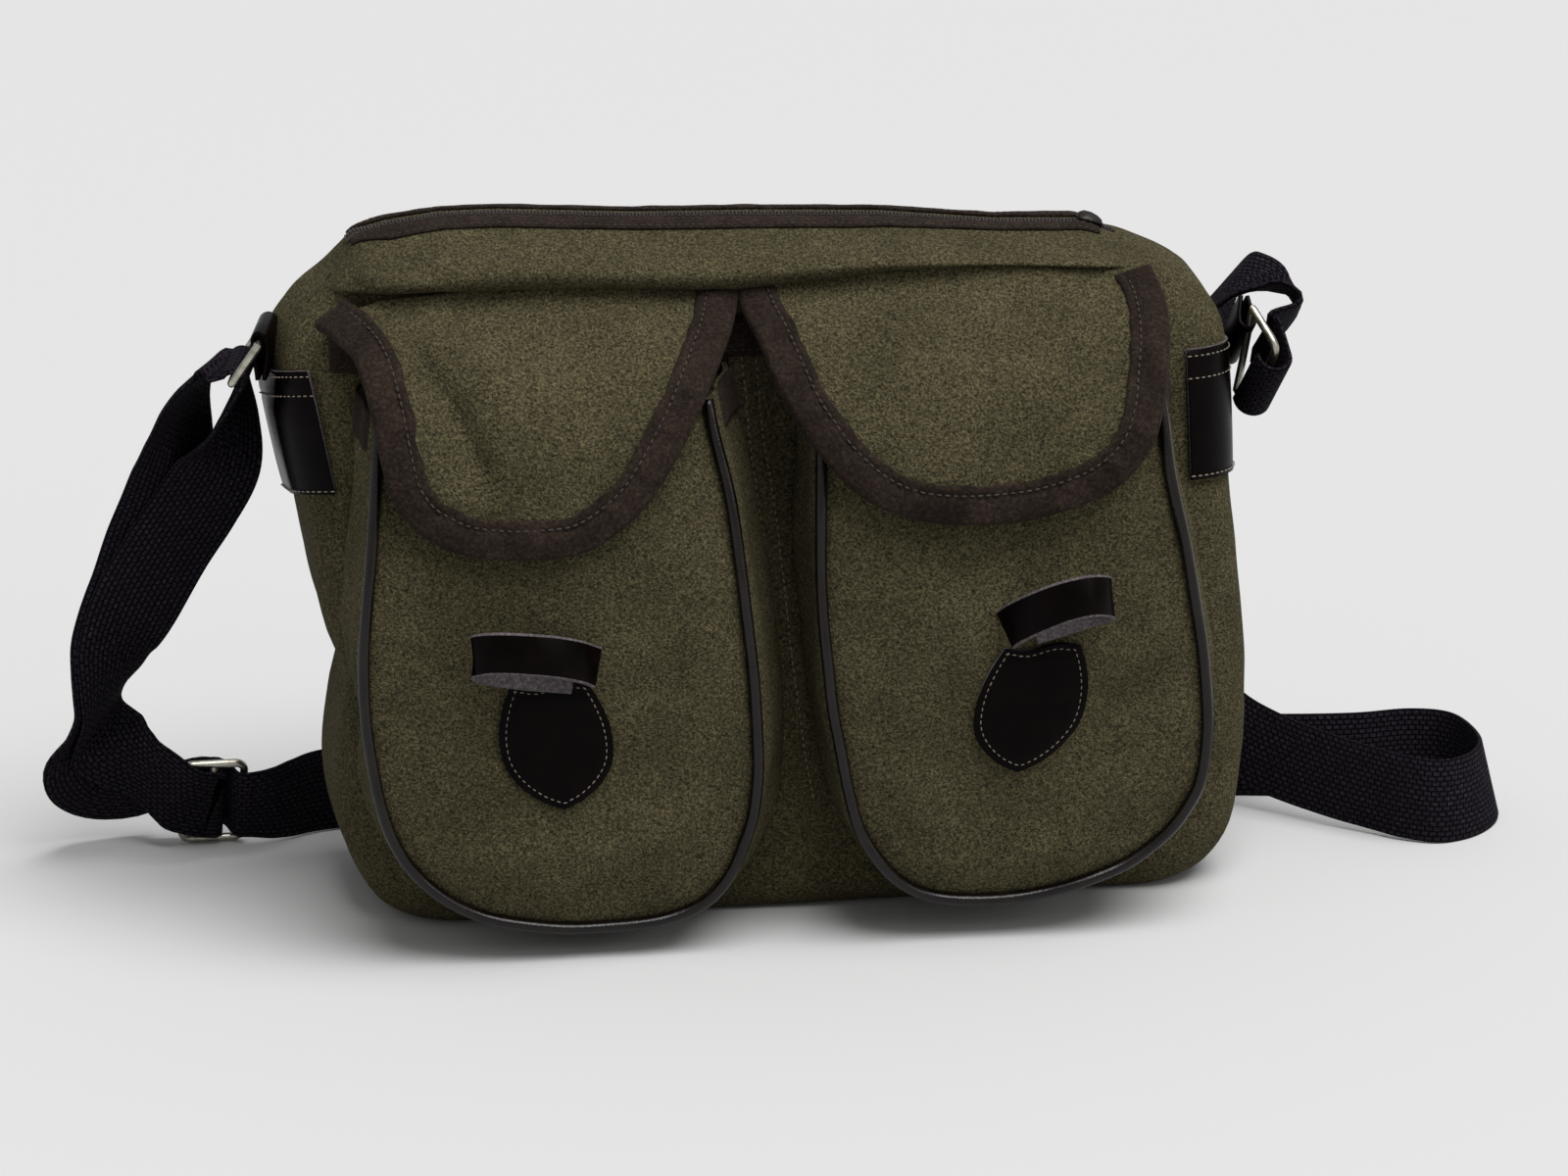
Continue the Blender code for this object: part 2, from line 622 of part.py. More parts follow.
def build_piping(side):
    """The leather piping sewn into the pocket's front edge."""
    edge = smooth_line(POCKET_EDGE[side], POCKET_STEPS + 1)
    way = np.gradient(edge, axis=0)
    points = []
    away = PIPING / 2 + GAP + 0.9
    for (x, z), (dx, dz) in zip(edge, way):
        length = math.hypot(dx, dz)
        out_x, out_z = -dz / length, dx / length
        y = pocket_front(side, x, z)
        points.append((x - out_x * away * 0.55, y - away * 0.9, z - out_z * away * 0.55))
    tube(f"pocket_piping_{side}", points, PIPING, piping_leather)


def flap_point(side, x, height, out=0.0):
    """A point on a flap's middle surface, moved out of it by a distance."""
    y = float(np.interp(height, FLAP["height"], FLAP["y"]))
    crown = float(np.interp(height, FLAP["height"], FLAP["crown"]))
    across = (x - POCKET_MIDDLE[side]) / POCKET_HALF
    y -= crown * POCKET_CROWN * max(0.0, 1 - across**2)
    step = 1.0
    y_up = float(np.interp(height + step, FLAP["height"], FLAP["y"]))
    y_down = float(np.interp(height - step, FLAP["height"], FLAP["y"]))
    slope = Vector((0.0, y_up - y_down, 2 * step)).normalized()
    outward = Vector((0.0, -slope.z, slope.y))
    return Vector((x, y, height)) + outward * out


def build_flap(side):
    """A wool flap: the sheet inside its edge, from the seam on the body down over the pocket."""
    edge = smooth_line(FLAP_EDGE[side], FLAP_STEPS + 1)
    middle = (edge[:, 0].min() + edge[:, 0].max()) / 2
    rows = []
    for shrink in (0.0, 0.1, 0.35, 0.65, 1.0):
        inside = shrunk(edge, middle, shrink, 34.0)
        rows.append([tuple(flap_point(side, x, z, WOOL / 2)) for x, z in inside])
    grid_object(f"flap_{side}", rows, wool, WOOL)


def build_flap_binding(side):
    """The suede tape folded over the flap's edge: a front leaf, a turn, and a back leaf."""
    edge = smooth_line(FLAP_EDGE[side], FLAP_STEPS + 7)[2:-2]
    way = np.gradient(edge, axis=0)
    inner, outer = WOOL / 2 + BINDING_ROOM, WOOL / 2 + BINDING_ROOM + SUEDE
    section = (
        (BINDING_WIDTH, inner), (BINDING_WIDTH, outer), (-GAP - SUEDE, outer), (-GAP - SUEDE, -outer),
        (BINDING_WIDTH * 0.6, -outer), (BINDING_WIDTH * 0.6, -inner), (-GAP, -inner), (-GAP, inner),
    )
    stations = []
    for (x, z), (dx, dz) in zip(edge, way):
        point = flap_point(side, x, z)
        length = math.hypot(dx, dz)
        inward_x, inward_z = -dz / length, dx / length
        toward = flap_point(side, x + inward_x, z + inward_z) - point
        along = flap_point(side, x + dx / length * 0.5, z + dz / length * 0.5) - point
        toward = (toward - along.normalized() * toward.dot(along.normalized())).normalized()
        out = along.cross(toward).normalized()
        if out.y > 0:
            out = -out
        stations.append((point, toward, out))
    sweep(f"flap_binding_{side}", stations, section, suede)


def build_mouth_strip():
    """The suede strip sewn across the body where the pockets' tops end."""
    rows = []
    for height in np.linspace(STRIP_LOW, STRIP_HIGH, 3):
        row = []
        for x in np.linspace(STRIP_LEFT, STRIP_RIGHT, 23):
            clear = GAP + SEAM_ROOM * corner_share(x, height)
            row.append((x, body_front(x, height) - clear - SUEDE, height))
        rows.append(row)
    grid_object("pocket_mouth_strip", rows, suede, SUEDE)


def build_patch(side):
    """The leather shield sewn on the pocket's front."""
    tip_x, tip_z, lean = PATCH_TIP[side]
    half = [(across * PATCH_HALF_WIDTH, up * PATCH_HEIGHT) for across, up in PATCH_ROWS]
    outline = [(-across, up) for across, up in half] + [(across, up) for across, up in reversed(half[:-1])]
    rows = []
    for shrink in (0.0, 0.35, 0.7, 1.0):
        row = []
        for across, up in outline:
            height = tip_z + up + (PATCH_HEIGHT * 0.55 - up) * shrink
            x = tip_x + across * (1 - shrink) + lean * (height - tip_z) / PATCH_HEIGHT
            y = pocket_front(side, x, height) - 2.0 - GAP - 0.5 - LEATHER
            row.append((x, y, height))
        row.append(row[0])
        rows.append(row)
    grid_object(f"patch_{side}", rows, leather, LEATHER)


def build_closing_strip(side):
    """The leather closing strip, bent into a loop above the patch."""
    rows = smooth_line(STRIP_ROWS[side], 24)
    rows = np.concatenate([rows[:, :5], np.ones((len(rows), 1))], axis=1)
    sweep(f"closing_strip_{side}", band_stations(rows), band_section(STRIP_WIDTH, LEATHER), leather)


def top_at(x, y):
    """The height of the body's top at a place beside the zip."""
    rows = slice(-4, None)
    reach = -BODY["front"][rows] if y < 0 else BODY["back"][rows]
    height = float(np.interp(abs(y), reach[::-1], BODY["height"][rows][::-1]))
    return lifted(x, height)


def build_zip():
    """The closed zip: its tape and chain in the slot, the two facings beside it, and its slider."""
    stations = []
    for x in np.linspace(ZIP_LEFT, ZIP_RIGHT, ZIP_STEPS):
        middle = (x, 0.0, top_at(x, 5.0) - ZIP_SINK)
        stations.append((middle, (0, 1, 0), (0, 0, 1)))
    sweep("zip", stations, ZIP_SECTION, zip_tape)
    for name, sign in (("front", -1), ("back", 1)):
        stations = []
        near, far = 5.2 * sign, (5.2 + FACING_WIDTH) * sign
        for x in np.linspace(FACING_LEFT, FACING_RIGHT, ZIP_STEPS):
            first = Vector((x, min(near, far), top_at(x, min(near, far))))
            last = Vector((x, max(near, far), top_at(x, max(near, far))))
            across = (last - first).normalized()
            out = Vector((1, 0, 0)).cross(across)
            stations.append(((first + last) / 2 + out * (GAP + 0.6 + SUEDE / 2), across, out))
        sweep(f"zip_facing_{name}", stations, band_section(FACING_WIDTH, SUEDE), suede)
    build_zip_slider()


def build_zip_slider():
    """The zip's slider with its pull, closed up to the right end and lying on the chain."""
    x = ZIP_RIGHT - SLIDER_LENGTH
    base = top_at(x, 5.0) - ZIP_SINK + ZIP_SECTION[4][1] + GAP
    outline = (
        (0.0, 0.0), (SLIDER_LENGTH, 0.0), (SLIDER_LENGTH, SLIDER_HEIGHT * 0.5),
        (SLIDER_LENGTH * 0.7, SLIDER_HEIGHT), (SLIDER_LENGTH * 0.2, SLIDER_HEIGHT), (0.0, SLIDER_HEIGHT * 0.6),
    )
    fall = (top_at(x + SLIDER_LENGTH, 5.0) - top_at(x, 5.0)) / SLIDER_LENGTH
    forward = Vector((1.0, 0.0, fall)).normalized()
    up = Vector((0, 0, 1))
    points = []
    for y in (-SLIDER_WIDTH / 2, SLIDER_WIDTH / 2):
        for along, height in outline:
            points.append(tuple(Vector((x, y, base)) + forward * along + up * height))
    count = len(outline)
    faces = [tuple(range(count)), tuple(reversed(range(count, 2 * count)))]
    for i in range(count):
        j = (i + 1) % count
        faces.append((j, i, count + i, count + j))
    add_object("zip_slider", points, faces, nickel)


def side_arc(side, height, start_x, out):
    """The body's side from its front to its back at a height, moved out by a distance."""
    row = body_at(height)
    radius, reach = row["corner"], row["corner"] + out
    sign = -1 if side == "left" else 1
    middle_x = row["left"] + radius if side == "left" else row["right"] - radius
    start = math.asin(min(1.0, max(0.0, (start_x - middle_x) * sign / reach)))
    points = []
    for turn in np.linspace(start, math.pi / 2, 6):
        points.append((middle_x + sign * reach * math.sin(turn), row["front"] + radius - reach * math.cos(turn)))
    for turn in np.linspace(math.pi / 2, math.pi - start, 6):
        points.append((middle_x + sign * reach * math.sin(turn), row["back"] - radius - reach * math.cos(turn)))
    return points


def build_side_tab(side):
    """The leather wrap sewn round the side gusset, which holds the ring's tab."""
    rows = []
    for share in np.linspace(0, 1, 5):
        level = TAB_LOW[side] + (TAB_HIGH[side] - TAB_LOW[side]) * share
        start_x = TAB_FRONT[side][0] + (TAB_FRONT[side][1] - TAB_FRONT[side][0]) * share
        row = []
        for k, (x, y) in enumerate(side_arc(side, level, start_x, TAB_CLEAR + LEATHER)):
            height = level - TAB_SINK[side] * y
            x, y = side_arc(side, height, start_x, TAB_CLEAR + LEATHER)[k]
            row.append((x, y, height))
        rows.append(row)
    grid_object(f"side_tab_{side}", rows, leather, LEATHER, flip=side == "right")


def ring_frame(side):
    """The bar's middle, the way along it, and the way the ring hangs from it, at right angles."""
    place = RING_PLACE[side]
    along = Vector(place["along"]).normalized()
    hang = Vector(place["hang"])
    hang = (hang - along * hang.dot(along)).normalized()
    return Vector(place["bar"]), along, hang


def build_ring(side):
    """The D-shaped ring of nickel wire: a straight bar and a squared bow."""
    bar, along, hang = ring_frame(side)
    points = []
    half = RING_WIDTH / 2
    for turn in np.linspace(0, math.pi, RING_POINTS):
        cosine, sine = math.cos(turn), math.sin(turn)
        across = half * math.copysign(abs(cosine) ** (2 / RING_SQUARE), cosine)
        points.append(bar + along * across + hang * RING_DROP * sine ** (2 / RING_SQUARE))
    tube(f"d_ring_{side}", points, WIRE, nickel, cyclic=True)


def hook(centre, out, leave, radius, legs):
    """A bend of the strap round a wire: a leg in along one side, half a turn, and a leg out."""
    points = [centre + out * radius + leave * s for s in legs[0]]
    for turn in np.linspace(0, math.pi, HOOK_STEPS + 1):
        points.append(centre + (out * math.cos(turn) - leave * math.sin(turn)) * radius)
    points.extend(centre - out * radius + leave * s for s in legs[1])
    return points


def build_ring_tab(side):
    """The leather strip that comes up from the side wrap, over the ring's bar and back."""
    bar, along, hang = ring_frame(side)
    way = Vector(RING_TAB_WAY[side])
    way = (way - along * way.dot(along)).normalized()
    out = along.cross(way)
    if out.x * bar.x < 0:
        out = -out
    radius = WIRE / 2 + GAP + LEATHER / 2
    leg = RING_TAB_LEG[side]
    points = hook(bar, out, way, radius, ((leg, leg * 0.5), (leg * 0.5, leg)))
    squeeze = radius - LEATHER / 2 - GAP
    points[0] = points[0] - out * squeeze
    points[-1] = points[-1] + out * squeeze
    rows = [(*point, *along) for point in points]
    sweep(f"ring_tab_{side}", band_stations(rows), band_section(RING_TAB_WIDTH, LEATHER), leather)


def thinned(rows):
    """The rows without those where the strap runs nearly straight and flat."""
    rows = [tuple(map(float, row)) for row in rows]
    kept = [rows[0]]
    for k in range(1, len(rows) - 1):
        here, after = Vector(rows[k][:3]), Vector(rows[k + 1][:3])
        before, start = Vector(kept[-1][:3]), Vector(rows[k - 1][:3])
        if len(kept) > 1:
            start = Vector(kept[-2][:3])
        turned = (before - start).angle(after - here, 0.0)
        twisted = Vector(kept[-1][3:6]).angle(Vector(rows[k + 1][3:6]), 0.0)
        close = (here - buckle_frame()[0]).length < BUCKLE_NEAR
        if close or math.degrees(max(turned, twisted)) > STRAP_TURN or (after - before).length > STRAP_REACH:
            kept.append(rows[k])
    kept.append(rows[-1])
    return kept


def buckle_frame():
    """The middle of the buckle's bar, the way along it, and the way from it to the back."""
    up = Vector(BUCKLE_UP).normalized()
    return Vector(BUCKLE_FOOT) + up * BUCKLE_TALL / 2, up, Vector((-1, 0, 0)).cross(up)


def doubled_layers():
    """The strap's two layers from the left ring to the buckle, each as rows of point and width."""
    bar, along, hang = ring_frame("left")
    bow = bar + hang * RING_DROP
    radius = RING_BEND["left"]
    start = [(*(bow + hang * s), *(-along), radius, radius, 0.0) for s in (0.0, 5.0)]
    rows = np.array(start + list(DOUBLED_ROWS), float)
    length = np.linalg.norm(np.diff(rows[:, :3], axis=0), axis=1).sum()
    rows = smooth_line(rows, int(length / STRAP_STEP) + 1)
    front, back = [], []
    for (point, across, out), (stand_front, stand_back, down) in zip(band_stations(rows), rows[:, 6:]):
        point = Vector(point)
        front.append((*(point + out * stand_front), *across))
        if point.z < OUTER_UNTIL:
            back.append((*(point - out * stand_back - across * down), *across))
    out = hang.cross(-along).normalized()
    start = [(*(bow - out * radius + hang * s), *(-along)) for s in (0.0, 2.0)]
    back = start + list(OUTER_ROWS) + back[::2] + back[-1:] * (len(back) % 2 == 0)
    length = np.linalg.norm(np.diff(np.array(back, float)[:, :3], axis=0), axis=1).sum()
    return thinned(front), thinned(smooth_line(back, int(length / STRAP_STEP) + 1))


def build_strap():
    """The webbing strap: sewn round the buckle's bar, up through the left ring and back down, through
    the buckle, round behind the bag, in a curl on its right, and up to the right ring."""
    radius = WIRE / 2 + GAP + WEB_THICK / 2
    front, back = doubled_layers()
    middle, up, behind = buckle_frame()
    loop = hook(middle, behind, Vector((-1, 0, 0)), radius, ((TAIL, TAIL * 0.5), ()))
    path = [(*point, *up) for point in loop]
    path.extend(reversed(front))
    bar, along, hang = ring_frame("left")
    bow = bar + hang * RING_DROP
    out = hang.cross(-along).normalized()
    turn = hook(bow, out, hang, RING_BEND["left"], ((), ()))
    path.extend((*point, *(-along)) for point in turn[1:-1])
    path.extend(back[:-1])
    bar, along, hang = ring_frame("right")
    bow = bar + hang * RING_DROP
    up = Vector((0, 0, 1))
    rise = (up - along * up.dot(along)).normalized()
    out = along.cross(rise)
    if out.x < 0:
        out = -out
    bend = RING_BEND["right"]
    last = hook(bow, out, rise, bend, ((22.0, 14.0, 6.0), (1.5,)))
    single = [*back[-1:], *SINGLE_ROWS, *[(*point, *(-along)) for point in last[:2]]]
    length = np.linalg.norm(np.diff(np.array(single, float)[:, :3], axis=0), axis=1).sum()
    path.extend(thinned(smooth_line(single, int(length / STRAP_STEP) + 1)))
    path.extend((*point, *(-along)) for point in last[2:])
    sweep("shoulder_strap", band_stations(path), band_section(WEB_WIDTH, WEB_THICK), webbing)


def build_buckle():
    """The buckle: a ladder-shaped frame of nickel wire, one body."""
    middle, up, behind = buckle_frame()
    across, half = Vector((BUCKLE_HALF, 0, 0)), up * BUCKLE_TALL / 2
    corners = [middle - across - half, middle + across - half, middle + across + half, middle - across + half]
    frame = tube("strap_buckle", corners, WIRE, nickel, cyclic=True)
    bar = tube("buckle_bar", [middle - half, middle + half], WIRE * 0.9, nickel)
    join(frame, bar)


def join(first, second):
    """Makes two curves one mesh body, under the first one's name."""
    graph = bpy.context.evaluated_depsgraph_get()
    made = []
    for thing in (first, second):
        mesh = bpy.data.meshes.new_from_object(thing.evaluated_get(graph))
        work = bmesh.new()
        work.from_mesh(mesh)
        bmesh.ops.remove_doubles(work, verts=work.verts, dist=1e-6)
        work.to_mesh(mesh)
        work.free()
        name = thing.name
        bpy.data.objects.remove(thing, do_unlink=True)
        made.append(bpy.data.objects.new(name, mesh))
    kept, cutter = made
    bag.objects.link(kept)
    cutters.objects.link(cutter)
    cutter.hide_render = True
    cutter.display_type = "WIRE"
    union = kept.modifiers.new("Bar", "BOOLEAN")
    union.operation = "UNION"
    union.object = cutter


clear_scene()
bag = bpy.data.collections.new("hunting_game_bag")
bpy.context.scene.collection.children.link(bag)
cutters = bpy.data.collections.new("cutters")
bpy.context.scene.collection.children.link(cutters)

wool = make_material("brushed wool felt", (0.055, 0.048, 0.027), 0.95)
suede = make_material("suede", (0.035, 0.022, 0.018), 0.9)
leather = make_material("smooth leather", (0.010, 0.004, 0.003), 0.35)
piping_leather = make_material("piping leather", (0.012, 0.006, 0.005), 0.4)
webbing = make_material("cotton webbing", (0.012, 0.009, 0.013), 0.85)
zip_tape = make_material("zip tape", (0.02, 0.015, 0.013), 0.7)
nickel = make_material("nickel wire", (0.42, 0.41, 0.38), 0.3, 1.0)

build_body()
build_zip()
build_mouth_strip()
for pocket_side in ("left", "right"):
    build_pocket(pocket_side)
    build_piping(pocket_side)
    build_flap(pocket_side)
    build_flap_binding(pocket_side)
    build_patch(pocket_side)
    build_closing_strip(pocket_side)
    build_side_tab(pocket_side)
    build_ring(pocket_side)
    build_ring_tab(pocket_side)
build_strap()
build_buckle()
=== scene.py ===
import math

import bmesh
import bpy
import numpy as np
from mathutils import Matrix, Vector, noise
from mathutils.bvhtree import BVHTree


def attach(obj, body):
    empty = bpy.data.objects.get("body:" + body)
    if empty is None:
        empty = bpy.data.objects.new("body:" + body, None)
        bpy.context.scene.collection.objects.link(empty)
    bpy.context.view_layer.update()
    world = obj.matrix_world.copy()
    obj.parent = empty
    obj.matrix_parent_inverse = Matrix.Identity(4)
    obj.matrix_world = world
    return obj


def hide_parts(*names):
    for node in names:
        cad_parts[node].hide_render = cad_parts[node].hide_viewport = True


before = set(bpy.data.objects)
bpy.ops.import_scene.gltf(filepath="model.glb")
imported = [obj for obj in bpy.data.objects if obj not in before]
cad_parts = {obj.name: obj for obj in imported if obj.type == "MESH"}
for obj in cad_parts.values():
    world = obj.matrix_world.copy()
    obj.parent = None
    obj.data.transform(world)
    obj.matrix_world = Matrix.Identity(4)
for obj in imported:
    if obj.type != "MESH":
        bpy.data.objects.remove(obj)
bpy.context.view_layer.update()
MM = 0.001

# The camera and the studio: a long lens a little to the left of the bag's front and above it, a pale
# matt floor, one broad soft light from above in front, and a weak fill from each side.
AIM = Vector((0.0155, 0.0, 0.1275))
CAMERA_DISTANCE = 3.70
CAMERA_AZIMUTH = math.radians(-9.0)
CAMERA_ELEVATION = math.radians(18.0)
LENS, SENSOR = 200.0, 36.0
FLOOR_HALF = 12.0
LIT_MIDDLE = Vector((0.0, 0.0, 0.15))
# Name, place and power of each fill
FILLS = (("right fill", (2.2, -1.9, 1.3), 9.0), ("left fill", (-2.4, -1.4, 0.9), 2.0))
FILL_WIDTH = 1.0
SKY_POWER, SKY_SPREAD, WORLD_STRENGTH = 3.95, math.radians(46), 0.45
SKY_WAY = Vector((-0.22, 0.33, -0.92))


def srgb(code, alpha=1.0):
    """The linear colour of an sRGB hex code."""
    parts = [int(code[i : i + 2], 16) / 255 for i in (1, 3, 5)]
    linear = [p / 12.92 if p <= 0.04045 else ((p + 0.055) / 1.055) ** 2.4 for p in parts]
    return (*linear, alpha)


def add_node(tree, kind, inputs=None, **settings):
    """A new node with its settings; a socket among the inputs is linked, and any other value is set."""
    made = tree.nodes.new(kind)
    for name, value in settings.items():
        setattr(made, name, value)
    for name, value in (inputs or {}).items():
        if isinstance(value, bpy.types.NodeSocket):
            tree.links.new(value, made.inputs[name])
        else:
            made.inputs[name].default_value = value
    return made


def new_material(name, base, roughness, **constants):
    """A material and its shader, with the values that are the same all over it."""
    material = bpy.data.materials.new(name)
    material.use_nodes = True
    tree = material.node_tree
    shader = tree.nodes["Principled BSDF"]
    shader.inputs["Base Color"].default_value = srgb(base)
    shader.inputs["Roughness"].default_value = roughness
    for key, value in constants.items():
        shader.inputs[key.replace("_", " ")].default_value = value
    return material, tree, shader


to_camera = Vector(
    (
        math.sin(CAMERA_AZIMUTH) * math.cos(CAMERA_ELEVATION),
        -math.cos(CAMERA_AZIMUTH) * math.cos(CAMERA_ELEVATION),
        math.sin(CAMERA_ELEVATION),
    )
)
lens = bpy.data.cameras.new("camera")
lens.lens = LENS
lens.sensor_width = SENSOR
camera = bpy.data.objects.new("camera", lens)
camera.location = AIM + to_camera * CAMERA_DISTANCE
camera.rotation_euler = (-to_camera).to_track_quat("-Z", "Y").to_euler()
bpy.context.scene.collection.objects.link(camera)
bpy.context.scene.camera = camera
bpy.context.scene.view_settings.view_transform = "Standard"

floor_paint, _, _ = new_material("pale matt floor paint", "#b9b9b9", 0.95, Specular_IOR_Level=0.1)
floor_corners = [(x * FLOOR_HALF, y * FLOOR_HALF, 0) for x, y in ((-1, -1), (1, -1), (1, 1), (-1, 1))]
floor_mesh = bpy.data.meshes.new("floor")
floor_mesh.from_pydata(floor_corners, [], [(0, 1, 2, 3)])
floor_mesh.materials.append(floor_paint)
floor = bpy.data.objects.new("floor", floor_mesh)
bpy.context.scene.collection.objects.link(floor)


def hang_lamp(name, kind, power, place, way):
    """A lamp at a place, shining along a way."""
    light = bpy.data.lights.new(name, kind)
    light.energy = power
    lamp = bpy.data.objects.new(name, light)
    lamp.location = place
    lamp.rotation_euler = way.to_track_quat("-Z", "Y").to_euler()
    bpy.context.scene.collection.objects.link(lamp)
    return light


for name, place, power in FILLS:
    fill = hang_lamp(name, "AREA", power, place, LIT_MIDDLE - Vector(place))
    fill.shape = "SQUARE"
    fill.size = FILL_WIDTH
sky = hang_lamp("broad overhead light", "SUN", SKY_POWER, (0.0, 0.0, 0.0), SKY_WAY)
sky.angle = SKY_SPREAD
world = bpy.data.worlds.new("studio")
world.use_nodes = True
world.node_tree.nodes["Background"].inputs["Color"].default_value = srgb("#ffffff")
world.node_tree.nodes["Background"].inputs["Strength"].default_value = WORLD_STRENGTH
bpy.context.scene.world = world

# The body: brushed wool felt, 2.4 mm thick, sewn as one soft box. It stands on its flat bottom, slumps
# in on its lower left, and its top rolls forward over the line where the flaps are sewn on.
WOOL = 2.4
# Each level's height, its left, right, front and back sides, and its corners' radius
BODY_ROWS = (
    (0.0, -147.0, 176.0, -40.0, 42.0, 24.0),
    (3.0, -157.0, 188.0, -46.0, 48.0, 26.0),
    (11.0, -166.0, 198.0, -50.0, 52.0, 27.0),
    (28.0, -175.0, 206.0, -51.0, 54.0, 27.0),
    (56.0, -180.0, 209.5, -51.0, 56.0, 27.0),
    (86.0, -177.0, 210.5, -50.0, 56.0, 26.0),
    (106.0, -173.5, 209.5, -49.0, 55.0, 26.0),
    (126.0, -181.0, 207.5, -48.5, 54.5, 26.0),
    (148.0, -185.5, 205.0, -48.0, 54.0, 25.0),
    (184.0, -191.0, 201.0, -46.5, 52.0, 25.0),
    (222.0, -196.0, 199.5, -44.5, 48.0, 25.0),
    (246.0, -194.0, 198.0, -43.0, 44.0, 25.0),
    (262.0, -184.5, 191.0, -41.5, 40.0, 26.0),
    (269.0, -178.0, 185.5, -40.0, 37.0, 26.0),
    (275.0, -173.0, 179.0, -40.5, 32.0, 24.0),
    (281.0, -169.0, 170.0, -34.0, 25.0, 20.0),
    (286.0, -166.0, 162.0, -20.0, 15.0, 12.0),
    (288.0, -164.5, 157.0, -5.0, 5.0, 4.5),
)
# How much the top stands above or below its rows, as x and rise, and the height where that starts
RIDGE_ROWS = (
    (-190.0, -2.0), (-165.0, 4.0), (-150.0, 8.0), (-130.0, 10.5), (-105.0, 10.5), (-75.0, 8.5), (-48.0, 6.8),
    (0.0, 5.5), (55.0, 3.0), (105.0, -2.5), (141.0, -4.0), (155.0, -8.5), (190.0, -12.0),
)
RIDGE_FROM = 240.0
# Soft hollows: place across and up, half-width, half-height, depth, and the side (front -1, back +1)
DENT_ROWS = (
    (-152.0, 268.0, 24.0, 12.0, 6.0, -1),
    (-20.0, 281.0, 60.0, 8.0, 3.0, -1),
    (120.0, 283.0, 35.0, 7.0, 3.5, -1),
    (60.0, 150.0, 90.0, 60.0, 5.0, 1),
    (-90.0, 200.0, 70.0, 40.0, 4.0, 1),
    (0.0, 60.0, 120.0, 22.0, -3.0, 1),
)
# The line across the front where the top rolls over the flaps, as x and height
ROLL_LINE = (
    (-200.0, 264.0), (-188.0, 271.5), (-162.0, 276.0), (-120.0, 276.5), (-60.0, 275.0), (-12.0, 272.5),
    (20.0, 274.5), (52.0, 277.5), (90.0, 277.5), (125.0, 275.5), (150.0, 274.0), (162.0, 272.0),
    (176.0, 262.0),
)
# Folds in the cloth: points across and up, then half-width and depth (a ridge where it is negative)
BODY_FOLDS = (
    (((-158, 296), (-146, 289), (-134, 284), (-124, 281)), 6.5, 5.0),
    (((-176, 285), (-168, 281), (-160, 278)), 5.0, 3.5),
    (((-118, 292), (-90, 290), (-60, 291)), 9.0, 1.6),
    (((20, 292), (60, 290), (100, 291)), 9.0, 1.4),
    (((-176, 118), (-170, 108), (-166, 96)), 7.0, 4.0),
    (((-188, 262), (-184, 240), (-182, 205)), 5.0, 1.6),
    (((184, 262), (188, 245), (189, 215)), 6.0, 2.0),
    (((196, 200), (190, 150), (194, 110)), 9.0, 1.5),
    (((198, 60), (186, 40), (178, 22)), 8.0, 2.4),
    (((-6, 240), (2, 190), (8, 120), (12, 60)), 5.0, 1.2),
)
# The cloth's soft unevenness as size, seed and height, and where it fades at the bottom and the top
BODY_WAVES = ((55.0, 3.1, 1.3), (24.0, 8.4, 0.5))
SOFT_BOTTOM, SOFT_TOP, SOFT_FADE = 14.0, 287.0, 12.0
# How many points go round each side and corner, and how far apart the levels are below and above a height
AROUND_FRONT, AROUND_SIDE, AROUND_CORNER = 140, 18, 14
LOWER_STEP, UPPER_STEP, UPPER_FROM = 4.2, 1.15, 250.0
# The roll's height from its line to its nose: at most, at least, and as a share of the room above it
ROLL_HIGH, ROLL_LEAST, ROLL_SHARE = 8.0, 1.8, 0.6
# How soon the roll fades above its nose, towards the back and at its right end
ROLL_FADE = 11.0
ROLL_FRONT, ROLL_DEPTH = 13.0, 25.0
ROLL_END, ROLL_END_FADE = 182.0, 30.0
# How far forward the roll's nose reaches, as x and depth
ROLL_NOSE = (
    (-206.0, -8.0), (-199.0, -17.0), (-191.0, -28.0), (-183.0, -38.0), (-174.0, -45.5), (-163.0, -50.0),
    (-148.0, -51.5), (-20.0, -51.5), (138.0, -51.5), (152.0, -49.5), (162.0, -45.0), (171.0, -39.0),
    (180.0, -31.0), (191.0, -18.0),
)
# How much wider the left side is than its rows, by height
LEFT_BULGE = (
    (150.0, 0.0), (190.0, 3.0), (225.0, 5.5), (250.0, 7.0), (268.0, 8.5), (280.0, 5.5), (290.0, 2.0),
)


def distance_along(points):
    """How far along a line each of its points is."""
    return np.concatenate([[0], np.cumsum(np.linalg.norm(np.diff(points, axis=0), axis=1))])


def unit(vectors):
    """Vectors with their length made 1."""
    return vectors / np.linalg.norm(vectors, axis=1, keepdims=True)


